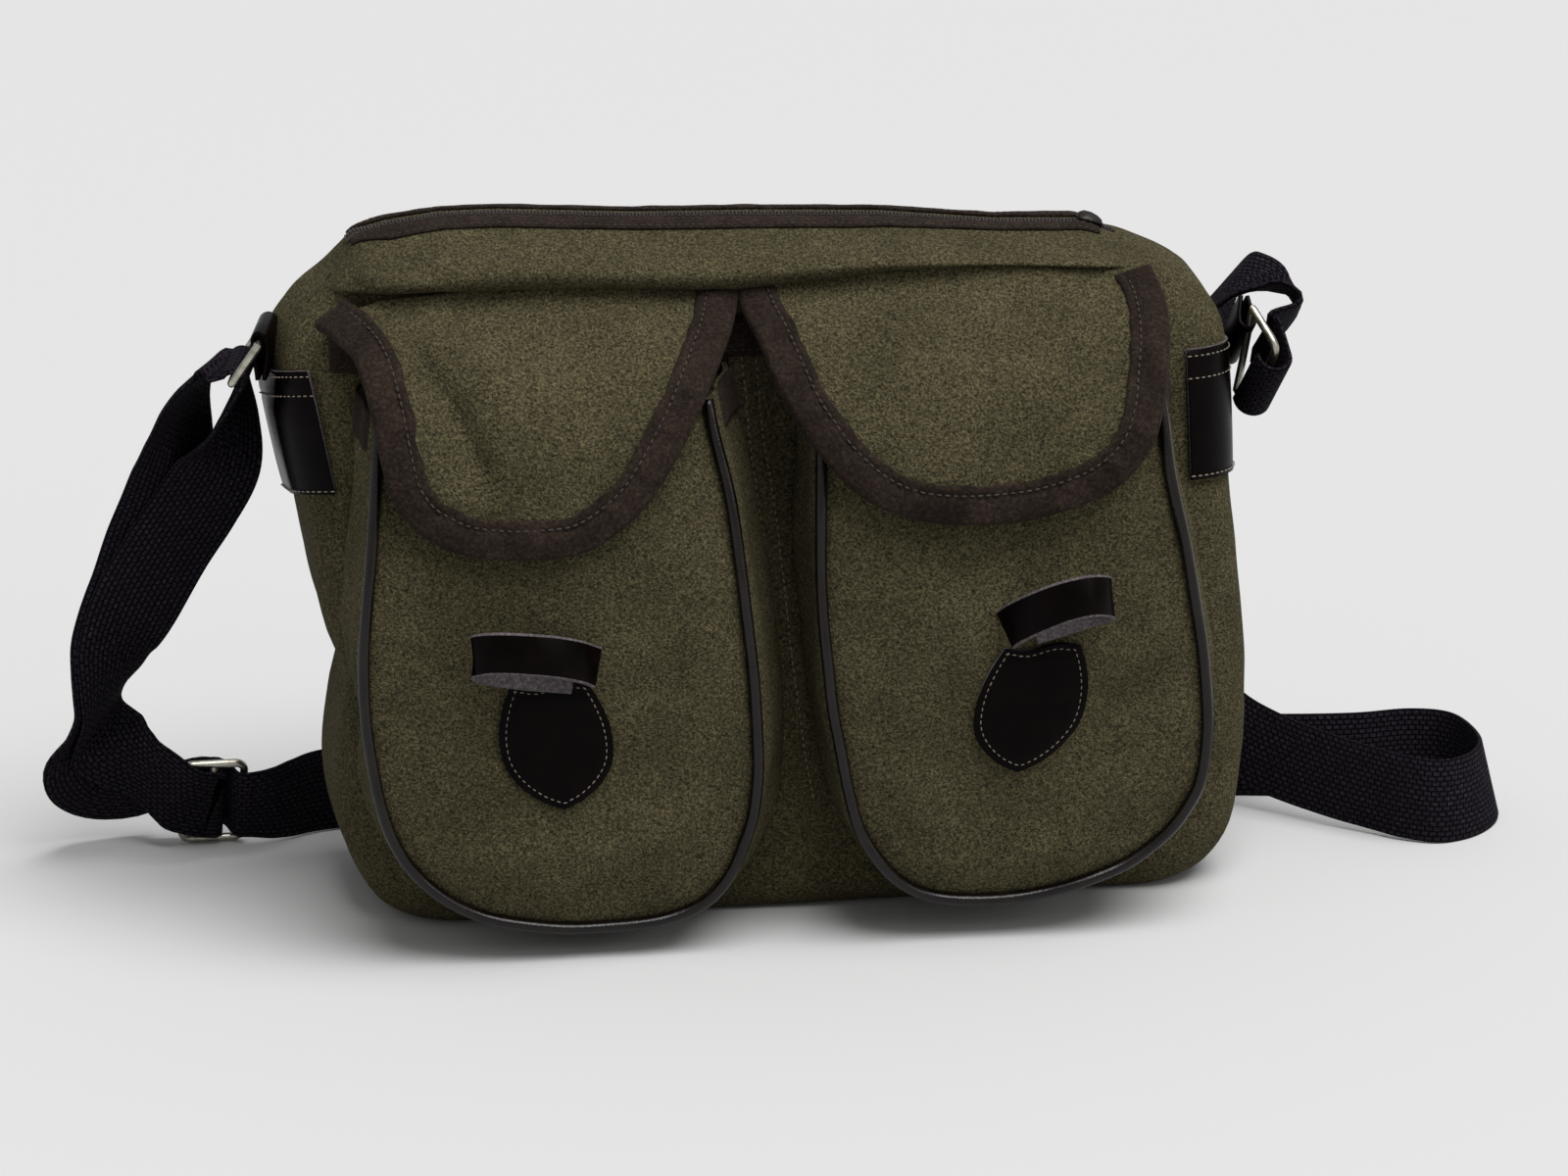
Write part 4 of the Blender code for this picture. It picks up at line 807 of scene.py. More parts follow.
# The flaps' bindings: a strip of brown suede folded over the raw edge and sewn through with one row of
# stitches near its inner edge. It puckers a little between the stitches and where it goes round the curve.
suede, tree, shader = new_material("brown suede", "#2c231c", 0.92, Sheen_Weight=0.06, Sheen_Roughness=0.45,
                                   Specular_IOR_Level=0.12, Sheen_Tint=srgb("#8d7c74"))
fibre = noise_at(tree, 620.0, 4.0, 0.7)
fine = ramp(tree, fibre, ((0.32, "#17110d"), (0.5, "#251c16"), (0.70, "#392f27")))
worn = ramp(tree, noise_at(tree, 70.0), ((0.30, "#b8b2ae"), (0.70, "#ffffff")))
coloured(tree, shader, blend_colours(tree, 1.0, fine, worn, "MULTIPLY"))
relief(tree, shader, fibre, 0.8, 0.0009)


def sweep(name, stations, sections, materials, face_materials=None):
    """A closed solid from a section at each of the stations, which say its middle, across and out."""
    points = []
    count = len(sections[0])
    for (middle, across, out), section in zip(stations, sections):
        section = np.array(section)
        points.append(np.array(middle) + np.outer(section[:, 0], across) + np.outer(section[:, 1], out))
    faces = grid_faces(len(stations), count, closed=True)
    kinds = None
    if face_materials is not None:
        kinds = [face_materials[k % count] for k in range(len(faces))] + [face_materials[0]] * 2
    faces.append(tuple(reversed(range(count))))
    faces.append(tuple((len(stations) - 1) * count + i for i in range(count)))
    return make_mesh(name, np.concatenate(points), faces, materials, kinds)


def rounded_band(width, thickness, steps=3):
    """A flat band's section with round edges, running the right way round for sweep."""
    half, radius = width / 2 - thickness / 2, thickness / 2
    section = []
    for middle, start in ((half, -90), (-half, 90)):
        for turn in np.linspace(start, start + 180, steps * 2 + 1):
            angle = math.radians(turn)
            section.append((middle + radius * math.cos(angle), radius * math.sin(angle)))
    return section


binding_frames = {}
for side in ("left", "right"):
    edge = flap_edges[side]
    way = unit(np.gradient(edge, axis=0))
    here = flap_points(side, edge[:, 0], edge[:, 1])
    inner_side = flap_points(side, edge[:, 0] - way[:, 1], edge[:, 1] + way[:, 0])
    ahead = unit(np.gradient(here, axis=0))
    toward = inner_side - here
    toward = unit(toward - ahead * np.sum(toward * ahead, axis=1, keepdims=True))
    out = np.cross(ahead, toward)
    out *= np.where(out[:, 1:2] > 0, -1.0, 1.0)
    binding_frames[side] = (here, toward, out)
    pucker = np.clip(unevenness(here, PUCKER_WAVES), -1, 1)
    stations, sections = [], []
    inner = WOOL / 2 + BINDING_ROOM
    for k in range(len(here)):
        width = BINDING_WIDTH + pucker[k] * 0.5
        swell = 0.75 + 0.75 * pucker[k]
        outer = inner + SUEDE
        section = [(width, inner - 0.2), (width + 0.3, inner + 0.5), (width - 0.4, outer - 0.1)]
        for share in (0.82, BINDING_SEAM, 0.6, 0.4, 0.2):
            dip = -1.0 if share == BINDING_SEAM else 0.0
            section.append((width * share, outer + dip + swell * math.sin(math.pi * share)))
        for turn in np.linspace(90, 270, 9):
            angle = math.radians(turn)
            section.append((-0.4 + (outer + 0.1) * 0.75 * math.cos(angle), outer * math.sin(angle)))
        section += [(width * 0.3, -outer), (width * 0.6, -outer), (width * 0.6, -inner)]
        section += [(-0.3, -inner), (-0.3, inner - 0.2)]
        stations.append((here[k], toward[k], out[k]))
        sections.append(section)
    binding = sweep(f"suede_binding_{side}", stations, sections, [suede])
    finish_piece(binding, "suede", f"flap_binding_{side}")

# The stitches: polyester thread in a lockstitch, about 3 mm a stitch, grey-beige on the leather and the
# wool and brown on the suede. One short round-ended stitch is laid at each step along a row's own line.


def thread_material(name, base, stops):
    """Twisted thread: its colour changes along its ply."""
    made, tree, shader = new_material(name, base, 0.8)
    inputs = {"Vector": object_coordinates(tree), "Scale": 900.0, "Distortion": 1.0}
    ply = add_node(tree, "ShaderNodeTexWave", inputs)
    coloured(tree, shader, ramp(tree, ply.outputs["Fac"], stops))
    return made


def bead_tree(name, material, sizes, axes, way, rings, spread, seed):
    """Geometry Nodes that lay a rounded bead at each step of a line. The sizes are its named inputs, the
    axes say which of them each of the bead's axes has, and the way says which axis lies along the line."""
    tree = bpy.data.node_groups.new(name, "GeometryNodeTree")
    face = tree.interface
    face.new_socket("Geometry", in_out="INPUT", socket_type="NodeSocketGeometry")
    for socket, value in sizes.items():
        face.new_socket(socket, in_out="INPUT", socket_type="NodeSocketFloat").default_value = value
    face.new_socket("Geometry", in_out="OUTPUT", socket_type="NodeSocketGeometry")
    inputs = add_node(tree, "NodeGroupInput").outputs
    steps = add_node(tree, "GeometryNodeResampleCurve",
                     {"Curve": inputs["Geometry"], "Length": inputs["Pitch"]}, mode="LENGTH")
    tangent = add_node(tree, "GeometryNodeInputTangent")
    turn = add_node(tree, "FunctionNodeAlignRotationToVector", {"Vector": tangent.outputs[0]}, axis=way)
    ball = add_node(tree, "GeometryNodeMeshUVSphere",
                    {"Segments": rings[0], "Rings": rings[1], "Radius": 0.5})
    size = add_node(tree, "ShaderNodeCombineXYZ", {axis: inputs[name] for axis, name in zip("XYZ", axes)})
    bead = add_node(tree, "GeometryNodeTransform",
                    {"Geometry": ball.outputs["Mesh"], "Scale": size.outputs[0]})
    varied = add_node(tree, "FunctionNodeRandomValue",
                      {2: spread[0], 3: spread[1], "Seed": seed}, data_type="FLOAT")
    laid = add_node(tree, "GeometryNodeInstanceOnPoints",
                    {"Points": steps.outputs["Curve"], "Instance": bead.outputs[0],
                     "Rotation": turn.outputs[0], "Scale": varied.outputs[1]})
    real = add_node(tree, "GeometryNodeRealizeInstances", {"Geometry": laid.outputs[0]})
    made = add_node(tree, "GeometryNodeSetMaterial", {"Geometry": real.outputs[0], "Material": material})
    tree.links.new(made.outputs[0], add_node(tree, "NodeGroupOutput").inputs[0])
    return tree


def stitch_tree(name, material, seed):
    """A bead tree for short round stitches of slightly different size."""
    sizes = {"Pitch": 0.003, "Stitch length": 0.0022, "Thread width": 0.0006}
    axes = ("Thread width", "Thread width", "Stitch length")
    return bead_tree(name, material, sizes, axes, "Z", (6, 4), (0.86, 1.08), seed)


def set_inputs(modifier, values):
    """Sets a Geometry Nodes modifier's named inputs by their identifiers."""
    for item in modifier.node_group.interface.items_tree:
        if item.item_type == "SOCKET" and item.in_out == "INPUT" and item.name in values:
            modifier[item.identifier] = values[item.name]


def lines_object(name, paths):
    """A curve object with one open line for each path of points in mm."""
    curve = bpy.data.curves.new(name, "CURVE")
    curve.dimensions = "3D"
    for path in paths:
        add_line(curve, path)
    return new_object(name + "_lines", curve)


def grown(name, paths, tree, values):
    """Runs Geometry Nodes on lines along the paths, and keeps the result as a plain piece."""
    holder = lines_object(name, paths)
    modifier = holder.modifiers.new("nodes", "NODES")
    modifier.node_group = tree
    set_inputs(modifier, values)
    mesh = as_mesh(holder)
    bpy.data.objects.remove(holder, do_unlink=True)
    return new_object(name, mesh)


thread = thread_material("grey-beige sewing thread", "#6f665b", ((0.2, "#575046"), (0.8, "#80776b")))
dark_thread = thread_material("brown sewing thread", "#241d18",
                              ((0.2, "#120e0b"), (0.8, "#1d1713"), (0.97, "#4d453d")))
pale_stitches = stitch_tree("pale stitches", thread, 4)
brown_stitches = stitch_tree("brown stitches", dark_thread, 7)


def sew(name, paths, slot, tree=None, pitch=3.0, length=2.3, width=0.6):
    """Rows of stitches along paths that lie on the pieces' surfaces."""
    stitches = grown(name, paths, tree or pale_stitches,
                     {"Pitch": pitch * MM, "Stitch length": length * MM, "Thread width": width * MM})
    finish_piece(stitches, slot)
    return stitches


def surface_of(*things):
    """The pieces' surfaces, for laying lines on them."""
    points, faces = [], []
    for thing in things:
        start = len(points)
        points.extend(v.co.copy() for v in thing.data.vertices)
        faces.extend(tuple(start + i for i in p.vertices) for p in thing.data.polygons)
    return BVHTree.FromPolygons(points, faces)


def laid_on(surface, places, lift):
    """Places across and up, in mm, put on the surface as seen from the front."""
    way = Vector((0.0, 1.0, 0.0))
    path = []
    for across, height in places:
        spot, normal, _, _ = surface.ray_cast(Vector((across, -300.0, height)) * MM, way)
        if spot is not None:
            path.append(spot / MM + (normal if normal.dot(way) < 0 else -normal) * lift)
    return path


binding_paths = []
for side in ("left", "right"):
    here, toward, out = binding_frames[side]
    row = here + toward * (BINDING_WIDTH * BINDING_SEAM) + out * (WOOL / 2 + BINDING_ROOM + SUEDE + 0.25)
    binding_paths.append(row[4:-4])
sew("binding_stitches", binding_paths, "suede", brown_stitches, pitch=3.4, length=2.6, width=1.0)

# Suede corners: where each pocket's gusset ends at the mouth, its raw top is wrapped in brown suede.
CORNER_POINTS, CORNER_FORWARD, CORNER_OUT, CORNER_UP = 8, 4.0, 1.6, 0.8
for side in ("left", "right"):
    edge = smooth_line(POCKET_EDGE[side], EDGE_POINTS)
    for end in ("outer", "inner"):
        first = (side == "left") == (end == "outer")
        part = edge[:CORNER_POINTS] if first else edge[-CORNER_POINTS:]
        x, z = part[:, 0], part[:, 1]
        seam = pocket_seam(side, x, z)
        rim = np.stack([x, pocket_front(side, x, z) + CORNER_FORWARD, z], axis=1)
        away = -1.0 if first else 1.0
        rows = []
        for depth in np.linspace(0.02, 0.96, 12):
            row = seam + (rim - seam) * depth
            row[:, 0] += away * (gusset_belly(depth) + CORNER_OUT)
            row[:, 2] += CORNER_UP
            rows.append(row)
        corner = make_mesh(f"suede_mouth_corner_{side}_{end}", np.concatenate(rows),
                           grid_faces(len(rows), CORNER_POINTS), [suede])
        wall(corner, SUEDE)
        finish_piece(corner, "suede")

# The mouth strip: a strip of brown suede sewn across the front under the flaps, with a row of stitches
# along each edge. It shows between the flaps and beside them.
STRIP_LEFT, STRIP_RIGHT, STRIP_LOW, STRIP_HIGH = -181.0, 163.0, 244.5, 261.0
rows = []
x = np.linspace(STRIP_LEFT, STRIP_RIGHT, 140)
for height in np.linspace(STRIP_LOW, STRIP_HIGH, 7):
    edge = np.minimum(x - np.interp(height, *np.array(BODY_ROWS)[:, [0, 1]].T),
                      np.interp(height, *np.array(BODY_ROWS)[:, [0, 2]].T) - x)
    near = np.maximum(0.3, 1 - edge / 25.0)
    y = body_front(x, np.full(len(x), height)) - GAP - SEAM_ROOM * near - SUEDE
    rows.append(np.stack([x, y, np.full(len(x), height)], axis=1))
mouth = make_mesh("suede_mouth_strip", np.concatenate(rows), grid_faces(len(rows), len(x)), [suede])
wall(mouth, SUEDE)
finish_piece(mouth, "suede", "pocket_mouth_strip")
mouth_rows = [row[2:-2] - (0.0, 0.1, 0.0) for row in (rows[1], rows[5])]
sew("mouth_strip_stitches", mouth_rows, "suede", brown_stitches, pitch=3.2, length=2.4, width=0.6)

# The leather patches: a shield of thick dark smooth leather on each pocket's front, cut raw, so its edge
# is paler, and sewn round with grey-beige thread just inside the edge.
PATCH_ROWS = (
    (0.68, 1.00), (0.84, 0.86), (0.97, 0.68), (1.00, 0.50), (0.93, 0.34), (0.70, 0.19), (0.36, 0.07),
    (0.0, 0.0),
)
PATCH_HALF_WIDTH, PATCH_HEIGHT, PATCH_MIDDLE, LEATHER = 23.5, 55.0, 0.55, 2.0
PATCH_INSET = 2.9
# How far a patch stands off the pocket's front with its folds halved, and with all of them at least;
# its swell and groove
PATCH_STAND, PATCH_LEAST, PATCH_SWELL, PATCH_GROOVE = 3.0, 3.3, 0.9, 0.35
# The lower tip's place across and up, and how far the patch leans over at its top
PATCH_TIP = {"left": (-92.9, 70.0, -6.0), "right": (97.6, 76.0, 10.0)}
leather = leather_material("smooth dark brown leather", "#040101", "#020000", "#080302", 0.32, 0.05, 0.7)
flesh, tree, shader = new_material("raw flesh side of leather", "#5d5457", 0.92)
hairs = noise_at(tree, 700.0, 4.0, 0.7)
coloured(tree, shader, ramp(tree, hairs, ((0.32, "#2b2627"), (0.52, "#453e40"), (0.72, "#6a6162"))))
relief(tree, shader, hairs, 0.5, 0.0004)


def patch_outline(side, inset=0.0):
    """The shield's outline across and up, drawn in by an inset."""
    tip_x, tip_z, lean = PATCH_TIP[side]
    half = [(across * PATCH_HALF_WIDTH, up * PATCH_HEIGHT) for across, up in PATCH_ROWS]
    left = smooth_line([(-across, up) for across, up in half], 60)
    right = smooth_line([(across, up) for across, up in reversed(half)], 60)
    top = np.linspace(right[-1], left[0], 24)[1:-1]
    top[:, 1] += 1.2 * np.sin(np.linspace(0, 2 * math.pi, len(top)))
    outline = np.concatenate([left, right[1:], top])
    middle = np.array([0.0, PATCH_HEIGHT * PATCH_MIDDLE])
    far = np.linalg.norm(outline - middle, axis=1, keepdims=True)
    outline = middle + (outline - middle) * (1 - inset / far)
    leaning = tip_x + outline[:, 0] + lean * outline[:, 1] / PATCH_HEIGHT
    return np.stack([leaning, tip_z + outline[:, 1]], axis=1)


patch_rows = []
for side in ("left", "right"):
    outline = patch_outline(side)
    outline = np.concatenate([outline, outline[:1]])
    middle = np.array([outline[:, 0].mean(), PATCH_TIP[side][1] + PATCH_HEIGHT * PATCH_MIDDLE])
    rows = []
    for share in (0.0, 0.03, 0.07, 0.12, 0.2, 0.35, 0.5, 0.7, 0.85, 1.0):
        flat = outline + (middle - outline) * share
        rise = PATCH_SWELL * min(1.0, share / 0.2) ** 0.7 - (PATCH_GROOVE if 0.1 < share < 0.15 else 0.0)
        folded_y = pocket_front(side, flat[:, 0], flat[:, 1])
        plain_y = np.interp(flat[:, 1], pocket_profile[:, 0], pocket_profile[:, 1])
        across = (flat[:, 0] - POCKET_MIDDLE[side]) / POCKET_HALF
        plain_y = plain_y - POCKET_CROWN * np.maximum(0.0, 1 - across**2)
        y = folded_y * 0.5 + plain_y * 0.5 - PATCH_STAND - LEATHER - rise
        y = np.minimum(y, folded_y - PATCH_LEAST - LEATHER * 0.6)
        rows.append(np.stack([flat[:, 0], y, flat[:, 1]], axis=1))
    faces = grid_faces(len(rows), len(outline))
    patch = make_mesh(f"leather_patch_{side}", np.concatenate(rows), faces, [leather])
    clean(patch)
    wall(patch, LEATHER, flesh)
    finish_piece(patch, "leather", f"patch_{side}")
    inset = patch_outline(side, PATCH_INSET)
    patch_rows.append(laid_on(surface_of(patch), (*inset, inset[0]), 0.05))
sew("patch_stitches", patch_rows, "leather", pale_stitches, pitch=2.9, length=1.9, width=0.55)

# The closing strips: a strip of the same leather, sewn in above each patch and bent round into a loop, so
# its grey flesh side shows underneath.
STRIP_WIDTH = 17.5
# Points along each strip: place across, depth and height, then how its width leans to the front and up
STRIP_ROWS = {
    "left": (
        (-79.5, -107.8, 132.5, -0.10, 0.10), (-87.0, -114.5, 137.5, -0.15, 0.15),
        (-97.0, -119.5, 141.5, -0.12, 0.20), (-108.0, -122.0, 144.0, -0.08, 0.20),
        (-119.0, -121.5, 145.0, 0.0, 0.20), (-127.5, -118.0, 144.0, 0.0, 0.20),
        (-130.5, -113.0, 141.0, 0.0, 0.20), (-124.5, -108.6, 136.5, -0.05, 0.10),
        (-109.0, -107.6, 133.0, -0.10, 0.05), (-96.0, -107.2, 131.0, -0.10, 0.0),
        (-89.0, -106.8, 130.0, -0.10, 0.0),
    ),
    "right": (
        (91.5, -107.6, 140.0, -0.05, 0.0), (95.0, -113.5, 145.0, -0.10, 0.15),
        (102.0, -120.5, 151.0, -0.15, 0.25), (112.0, -124.0, 156.0, -0.15, 0.25),
        (123.0, -123.5, 158.0, -0.10, 0.25), (131.5, -118.5, 156.0, -0.05, 0.25),
        (134.0, -112.5, 152.5, -0.05, 0.20), (129.0, -107.6, 149.0, -0.10, 0.10),
        (117.5, -106.4, 145.0, -0.15, 0.05), (103.0, -106.2, 141.0, -0.15, 0.0),
    ),
}


def band_stations(rows):
    """Stations of a flat band from rows of x, y, z and the way its width points."""
    rows = np.array(rows, float)
    way = unit(np.gradient(rows[:, :3], axis=0))
    across = unit(rows[:, 3:6] - way * np.sum(rows[:, 3:6] * way, axis=1, keepdims=True))
    return list(zip(rows[:, :3], across, np.cross(way, across)))


for side in ("left", "right"):
    rows = smooth_line(STRIP_ROWS[side], 110)
    rows = np.concatenate([rows, np.ones((len(rows), 1))], axis=1)
    section = rounded_band(STRIP_WIDTH, LEATHER)
    kinds = [1] * len(section)
    kinds[len(section) // 2 - 1 if side == "right" else -1] = 0
    strip = sweep(f"leather_closing_strip_{side}", band_stations(rows), [section] * len(rows),
                  [leather, flesh], kinds)
    strip.data.set_sharp_from_angle(angle=math.radians(35))
    finish_piece(strip, "leather", f"closing_strip_{side}")

# The side tabs: a wide piece of the smooth leather wrapped round each side and sewn down, with two rows
# of stitches near its top, where it holds the ring's tab, and one along its bottom.
TAB_LOW = {"left": 181.0, "right": 177.5}
TAB_HIGH = {"left": 234.0, "right": 234.0}
# How much lower it gets towards the back, and where its front end stands at its bottom and its top
TAB_SINK = {"left": 0.26, "right": 0.10}
TAB_FRONT = {"left": (-178.5, -187.0), "right": (181.0, 179.0)}
TAB_CLEAR, TAB_SWELL, TAB_STITCH = 1.0, 0.35, 0.45
# Its rows of stitches, as shares of its height
TAB_STITCHES = {"left": (0.025, 0.80, 0.955), "right": (0.03, 0.78, 0.95)}


def side_arc(side, height, start_x, out, steps=36):
    """The body's side from its front to its back at a height, moved out by a distance."""
    rows = np.array(BODY_ROWS)
    left, right, front, back, radius = (np.interp(height, rows[:, 0], rows[:, k]) for k in range(1, 6))
    reach = radius + out
    sign = -1 if side == "left" else 1
    middle_x = left + radius if side == "left" else right - radius
    start = math.asin(min(1.0, max(0.0, (start_x - middle_x) * sign / reach)))
    points = []
    for turn in np.linspace(start, math.pi / 2, steps):
        points.append((middle_x + sign * reach * math.sin(turn), front + radius - reach * math.cos(turn)))
    for turn in np.linspace(math.pi / 2, math.pi - start, steps):
        points.append((middle_x + sign * reach * math.sin(turn), back - radius - reach * math.cos(turn)))
    return points


def tab_row(side, share, out):
    """One level line of a side tab, from front to back."""
    level = TAB_LOW[side] + (TAB_HIGH[side] - TAB_LOW[side]) * share
    start_x = TAB_FRONT[side][0] + (TAB_FRONT[side][1] - TAB_FRONT[side][0]) * share
    row = []
    for k, (_, y) in enumerate(side_arc(side, level, start_x, out)):
        height = level - TAB_SINK[side] * y
        x, y = side_arc(side, height, start_x, out)[k]
        row.append((x - float(left_bulge(x, y, height)), y, height))
    return np.array(row)


tab_rows = []
for side in ("left", "right"):
    rows = []
    for share in np.linspace(0, 1, 21):
        groove = sum(math.exp(-(((share - seam) / 0.02) ** 2)) for seam in TAB_STITCHES[side])
        swell = TAB_SWELL * (math.sin(math.pi * share) - groove)
        rows.append(tab_row(side, share, TAB_CLEAR + LEATHER + swell))
    faces = grid_faces(len(rows), len(rows[0]), flip=side == "left")
    tab = make_mesh(f"leather_side_tab_{side}", np.concatenate(rows), faces, [leather])
    clean(tab)
    wall(tab, LEATHER, flesh)
    finish_piece(tab, "leather", f"side_tab_{side}")
    for share in TAB_STITCHES[side]:
        tab_rows.append(tab_row(side, share, TAB_CLEAR + LEATHER + TAB_STITCH)[1:-1])
sew("side_tab_stitches", tab_rows, "leather", pale_stitches, pitch=3.1, length=2.2, width=0.7)

# The rings: D-shaped rings bent from 3.6 mm steel wire and nickel-plated, each held by its straight bar in
# a tab of the smooth leather.
WIRE = 3.6
RING_WIDTH, RING_DROP, RING_SQUARE = 48.0, 21.0, 10.0
RING_PLACE = {
    "left": {"bar": (-204.0, -4.0, 252.5), "along": (-0.22, -0.975, 0.0), "hang": (-0.55, 0.12, -0.83)},
    "right": {"bar": (211.0, 2.0, 228.5), "along": (0.115, -0.68, 0.73), "hang": (0.38, -0.64, -0.66)},
}
RING_TAB_WAY = {"left": (0.0, 0.0, -1.0), "right": (0.04, 0.68, 0.66)}
RING_TAB_LEG = {"left": 17.0, "right": 12.0}
RING_TAB_WIDTH = 31.0
nickel, tree, shader = new_material("nickel-plated steel wire", "#b3b0a4", 0.28, Metallic=1.0)
wear = noise_at(tree, 260.0, 4.0)
coloured(tree, shader, ramp(tree, wear, ((0.3, "#8e8a7c"), (0.6, "#b9b6aa"))))
rough = add_node(tree, "ShaderNodeMapRange", {"Value": wear, "To Min": 0.2, "To Max": 0.42})
tree.links.new(rough.outputs[0], shader.inputs["Roughness"])


def ring_frame(side):
    """The bar's middle, the way along it, and the way the ring hangs from it, at right angles."""
    spot = RING_PLACE[side]
    along = Vector(spot["along"]).normalized()
    hang = Vector(spot["hang"])
    hang = (hang - along * hang.dot(along)).normalized()
    return Vector(spot["bar"]), along, hang


def hook(centre, out, leave, radius, legs, steps=16):
    """A bend round a wire: a leg in along one side, half a turn, and a leg out."""
    points = [centre + out * radius + leave * s for s in legs[0]]
    for turn in np.linspace(0, math.pi, steps + 1):
        points.append(centre + (out * math.cos(turn) - leave * math.sin(turn)) * radius)
    points.extend(centre - out * radius + leave * s for s in legs[1])
    return points


for side in ("left", "right"):
    bar, along, hang = ring_frame(side)
    points = []
    for turn in np.linspace(0, math.pi, 120):
        cosine, sine = math.cos(turn), math.sin(turn)
        across = RING_WIDTH / 2 * math.copysign(abs(cosine) ** (2 / RING_SQUARE), cosine)
        points.append(bar + along * across + hang * RING_DROP * abs(sine) ** (2 / RING_SQUARE))
    spacing = smooth_line([tuple(p) for p in points[::3]], 90)
    ring = tube(f"nickel_ring_{side}", spacing, WIRE, nickel, cyclic=True)
    finish_piece(ring, "nickel", f"d_ring_{side}")
    way = Vector(RING_TAB_WAY[side])
    way = (way - along * way.dot(along)).normalized()
    out = along.cross(way)
    if out.x * bar.x < 0:
        out = -out
    radius = WIRE / 2 + GAP + LEATHER / 2
    leg = RING_TAB_LEG[side]
    legs = [leg, leg * 0.75, leg * 0.5, leg * 0.25]
    points = hook(bar, out, way, radius, (legs, legs[::-1]))
    squeeze = radius - LEATHER / 2 - GAP
    for k, share in ((0, 1.0), (1, 0.75), (2, 0.35), (3, 0.08)):
        points[k] = points[k] - out * squeeze * share
        points[-1 - k] = points[-1 - k] + out * squeeze * share
    rows = [(*point, *along) for point in points]
    section = rounded_band(RING_TAB_WIDTH, LEATHER)
    ring_tab = sweep(f"leather_ring_tab_{side}", band_stations(rows), [section] * len(rows), [leather])
    ring_tab.data.set_sharp_from_angle(angle=math.radians(35))
    finish_piece(ring_tab, "leather", f"ring_tab_{side}")

# The shoulder strap: dark violet-grey cotton webbing, 38 mm wide, woven in a coarse basket weave. It is
# sewn round the buckle's bar, goes up through the left ring and back down, through the buckle, behind
# the bag on the surface, in a curl on its right, and up to the right ring.
WEB_WIDTH, WEB_THICK = 38.0, 2.4
# The radius of the webbing's bend round each ring
RING_BEND = {"left": 4.5, "right": 7.0}
# Where the two layers run together: place, the way of their width, how far the front and the back layer
# stand off, and how far the back one is drawn back along its width
DOUBLED_ROWS = (
    (-219.4, 3.0, 223.0, 0.32, 0.93, -0.15, 2.6, 2.6, 6.0),
    (-220.0, 11.0, 206.0, 0.55, 0.75, -0.35, 1.8, 1.6, 6.0),
    (-223.5, 19.5, 186.0, 0.76, 0.30, -0.58, 1.6, 1.6, 6.0),
    (-232.5, 27.5, 167.0, 0.80, 0.15, -0.58, 1.6, 1.6, 6.0),
    (-244.0, 36.0, 146.0, 0.85, 0.10, -0.50, 1.6, 1.6, 6.0),
    (-255.5, 45.0, 122.0, 0.87, 0.05, -0.48, 1.6, 1.6, 3.0),
    (-264.5, 51.0, 101.0, 0.80, 0.40, -0.42, 1.6, 1.6, 2.0),
    (-268.0, 54.5, 87.0, 0.68, 0.68, -0.22, 1.6, 1.6, 2.0),
    (-271.5, 58.5, 73.0, 0.52, 0.84, 0.12, 1.6, 1.6, 2.0),
    (-273.0, 62.0, 62.0, 0.52, 0.60, 0.60, 1.6, 1.6, 4.0),
    (-270.0, 64.5, 53.5, 0.34, 0.15, 0.93, 1.6, 1.6, 13.0),
    (-264.0, 65.0, 47.5, 0.10, -0.15, 0.98, 1.6, 1.6, 20.0),
    (-256.5, 64.0, 42.5, -0.02, -0.32, 0.95, 1.6, 1.6, 21.0),
    (-248.0, 61.8, 37.0, -0.08, -0.40, 0.91, 1.6, 3.6, 18.0),
    (-238.0, 61.5, 28.5, -0.06, -0.42, 0.905, 2.8, 7.2, 9.0),
    (-232.0, 63.2, 24.2, -0.05, -0.42, 0.905, 2.2, 8.2, 2.0),
    (-227.0, 64.0, 22.4, 0.0, -0.42, 0.907, 1.6, 8.4, 0.6),
)
# The back layer where it leaves the ring by itself, and the height below which it follows the front one
OUTER_ROWS = (
    (-224.5, 2.5, 237.5, 0.22, 0.97, -0.05),
    (-231.5, 7.0, 231.0, 0.35, 0.93, -0.10),
    (-236.5, 12.0, 219.0, 0.50, 0.84, -0.20),
    (-239.0, 17.0, 204.0, 0.62, 0.68, -0.38),
    (-241.0, 23.0, 187.0, 0.72, 0.45, -0.53),
    (-244.5, 30.5, 168.0, 0.80, 0.20, -0.56),
    (-251.0, 40.5, 147.0, 0.85, 0.10, -0.50),
)
OUTER_UNTIL = 128.0
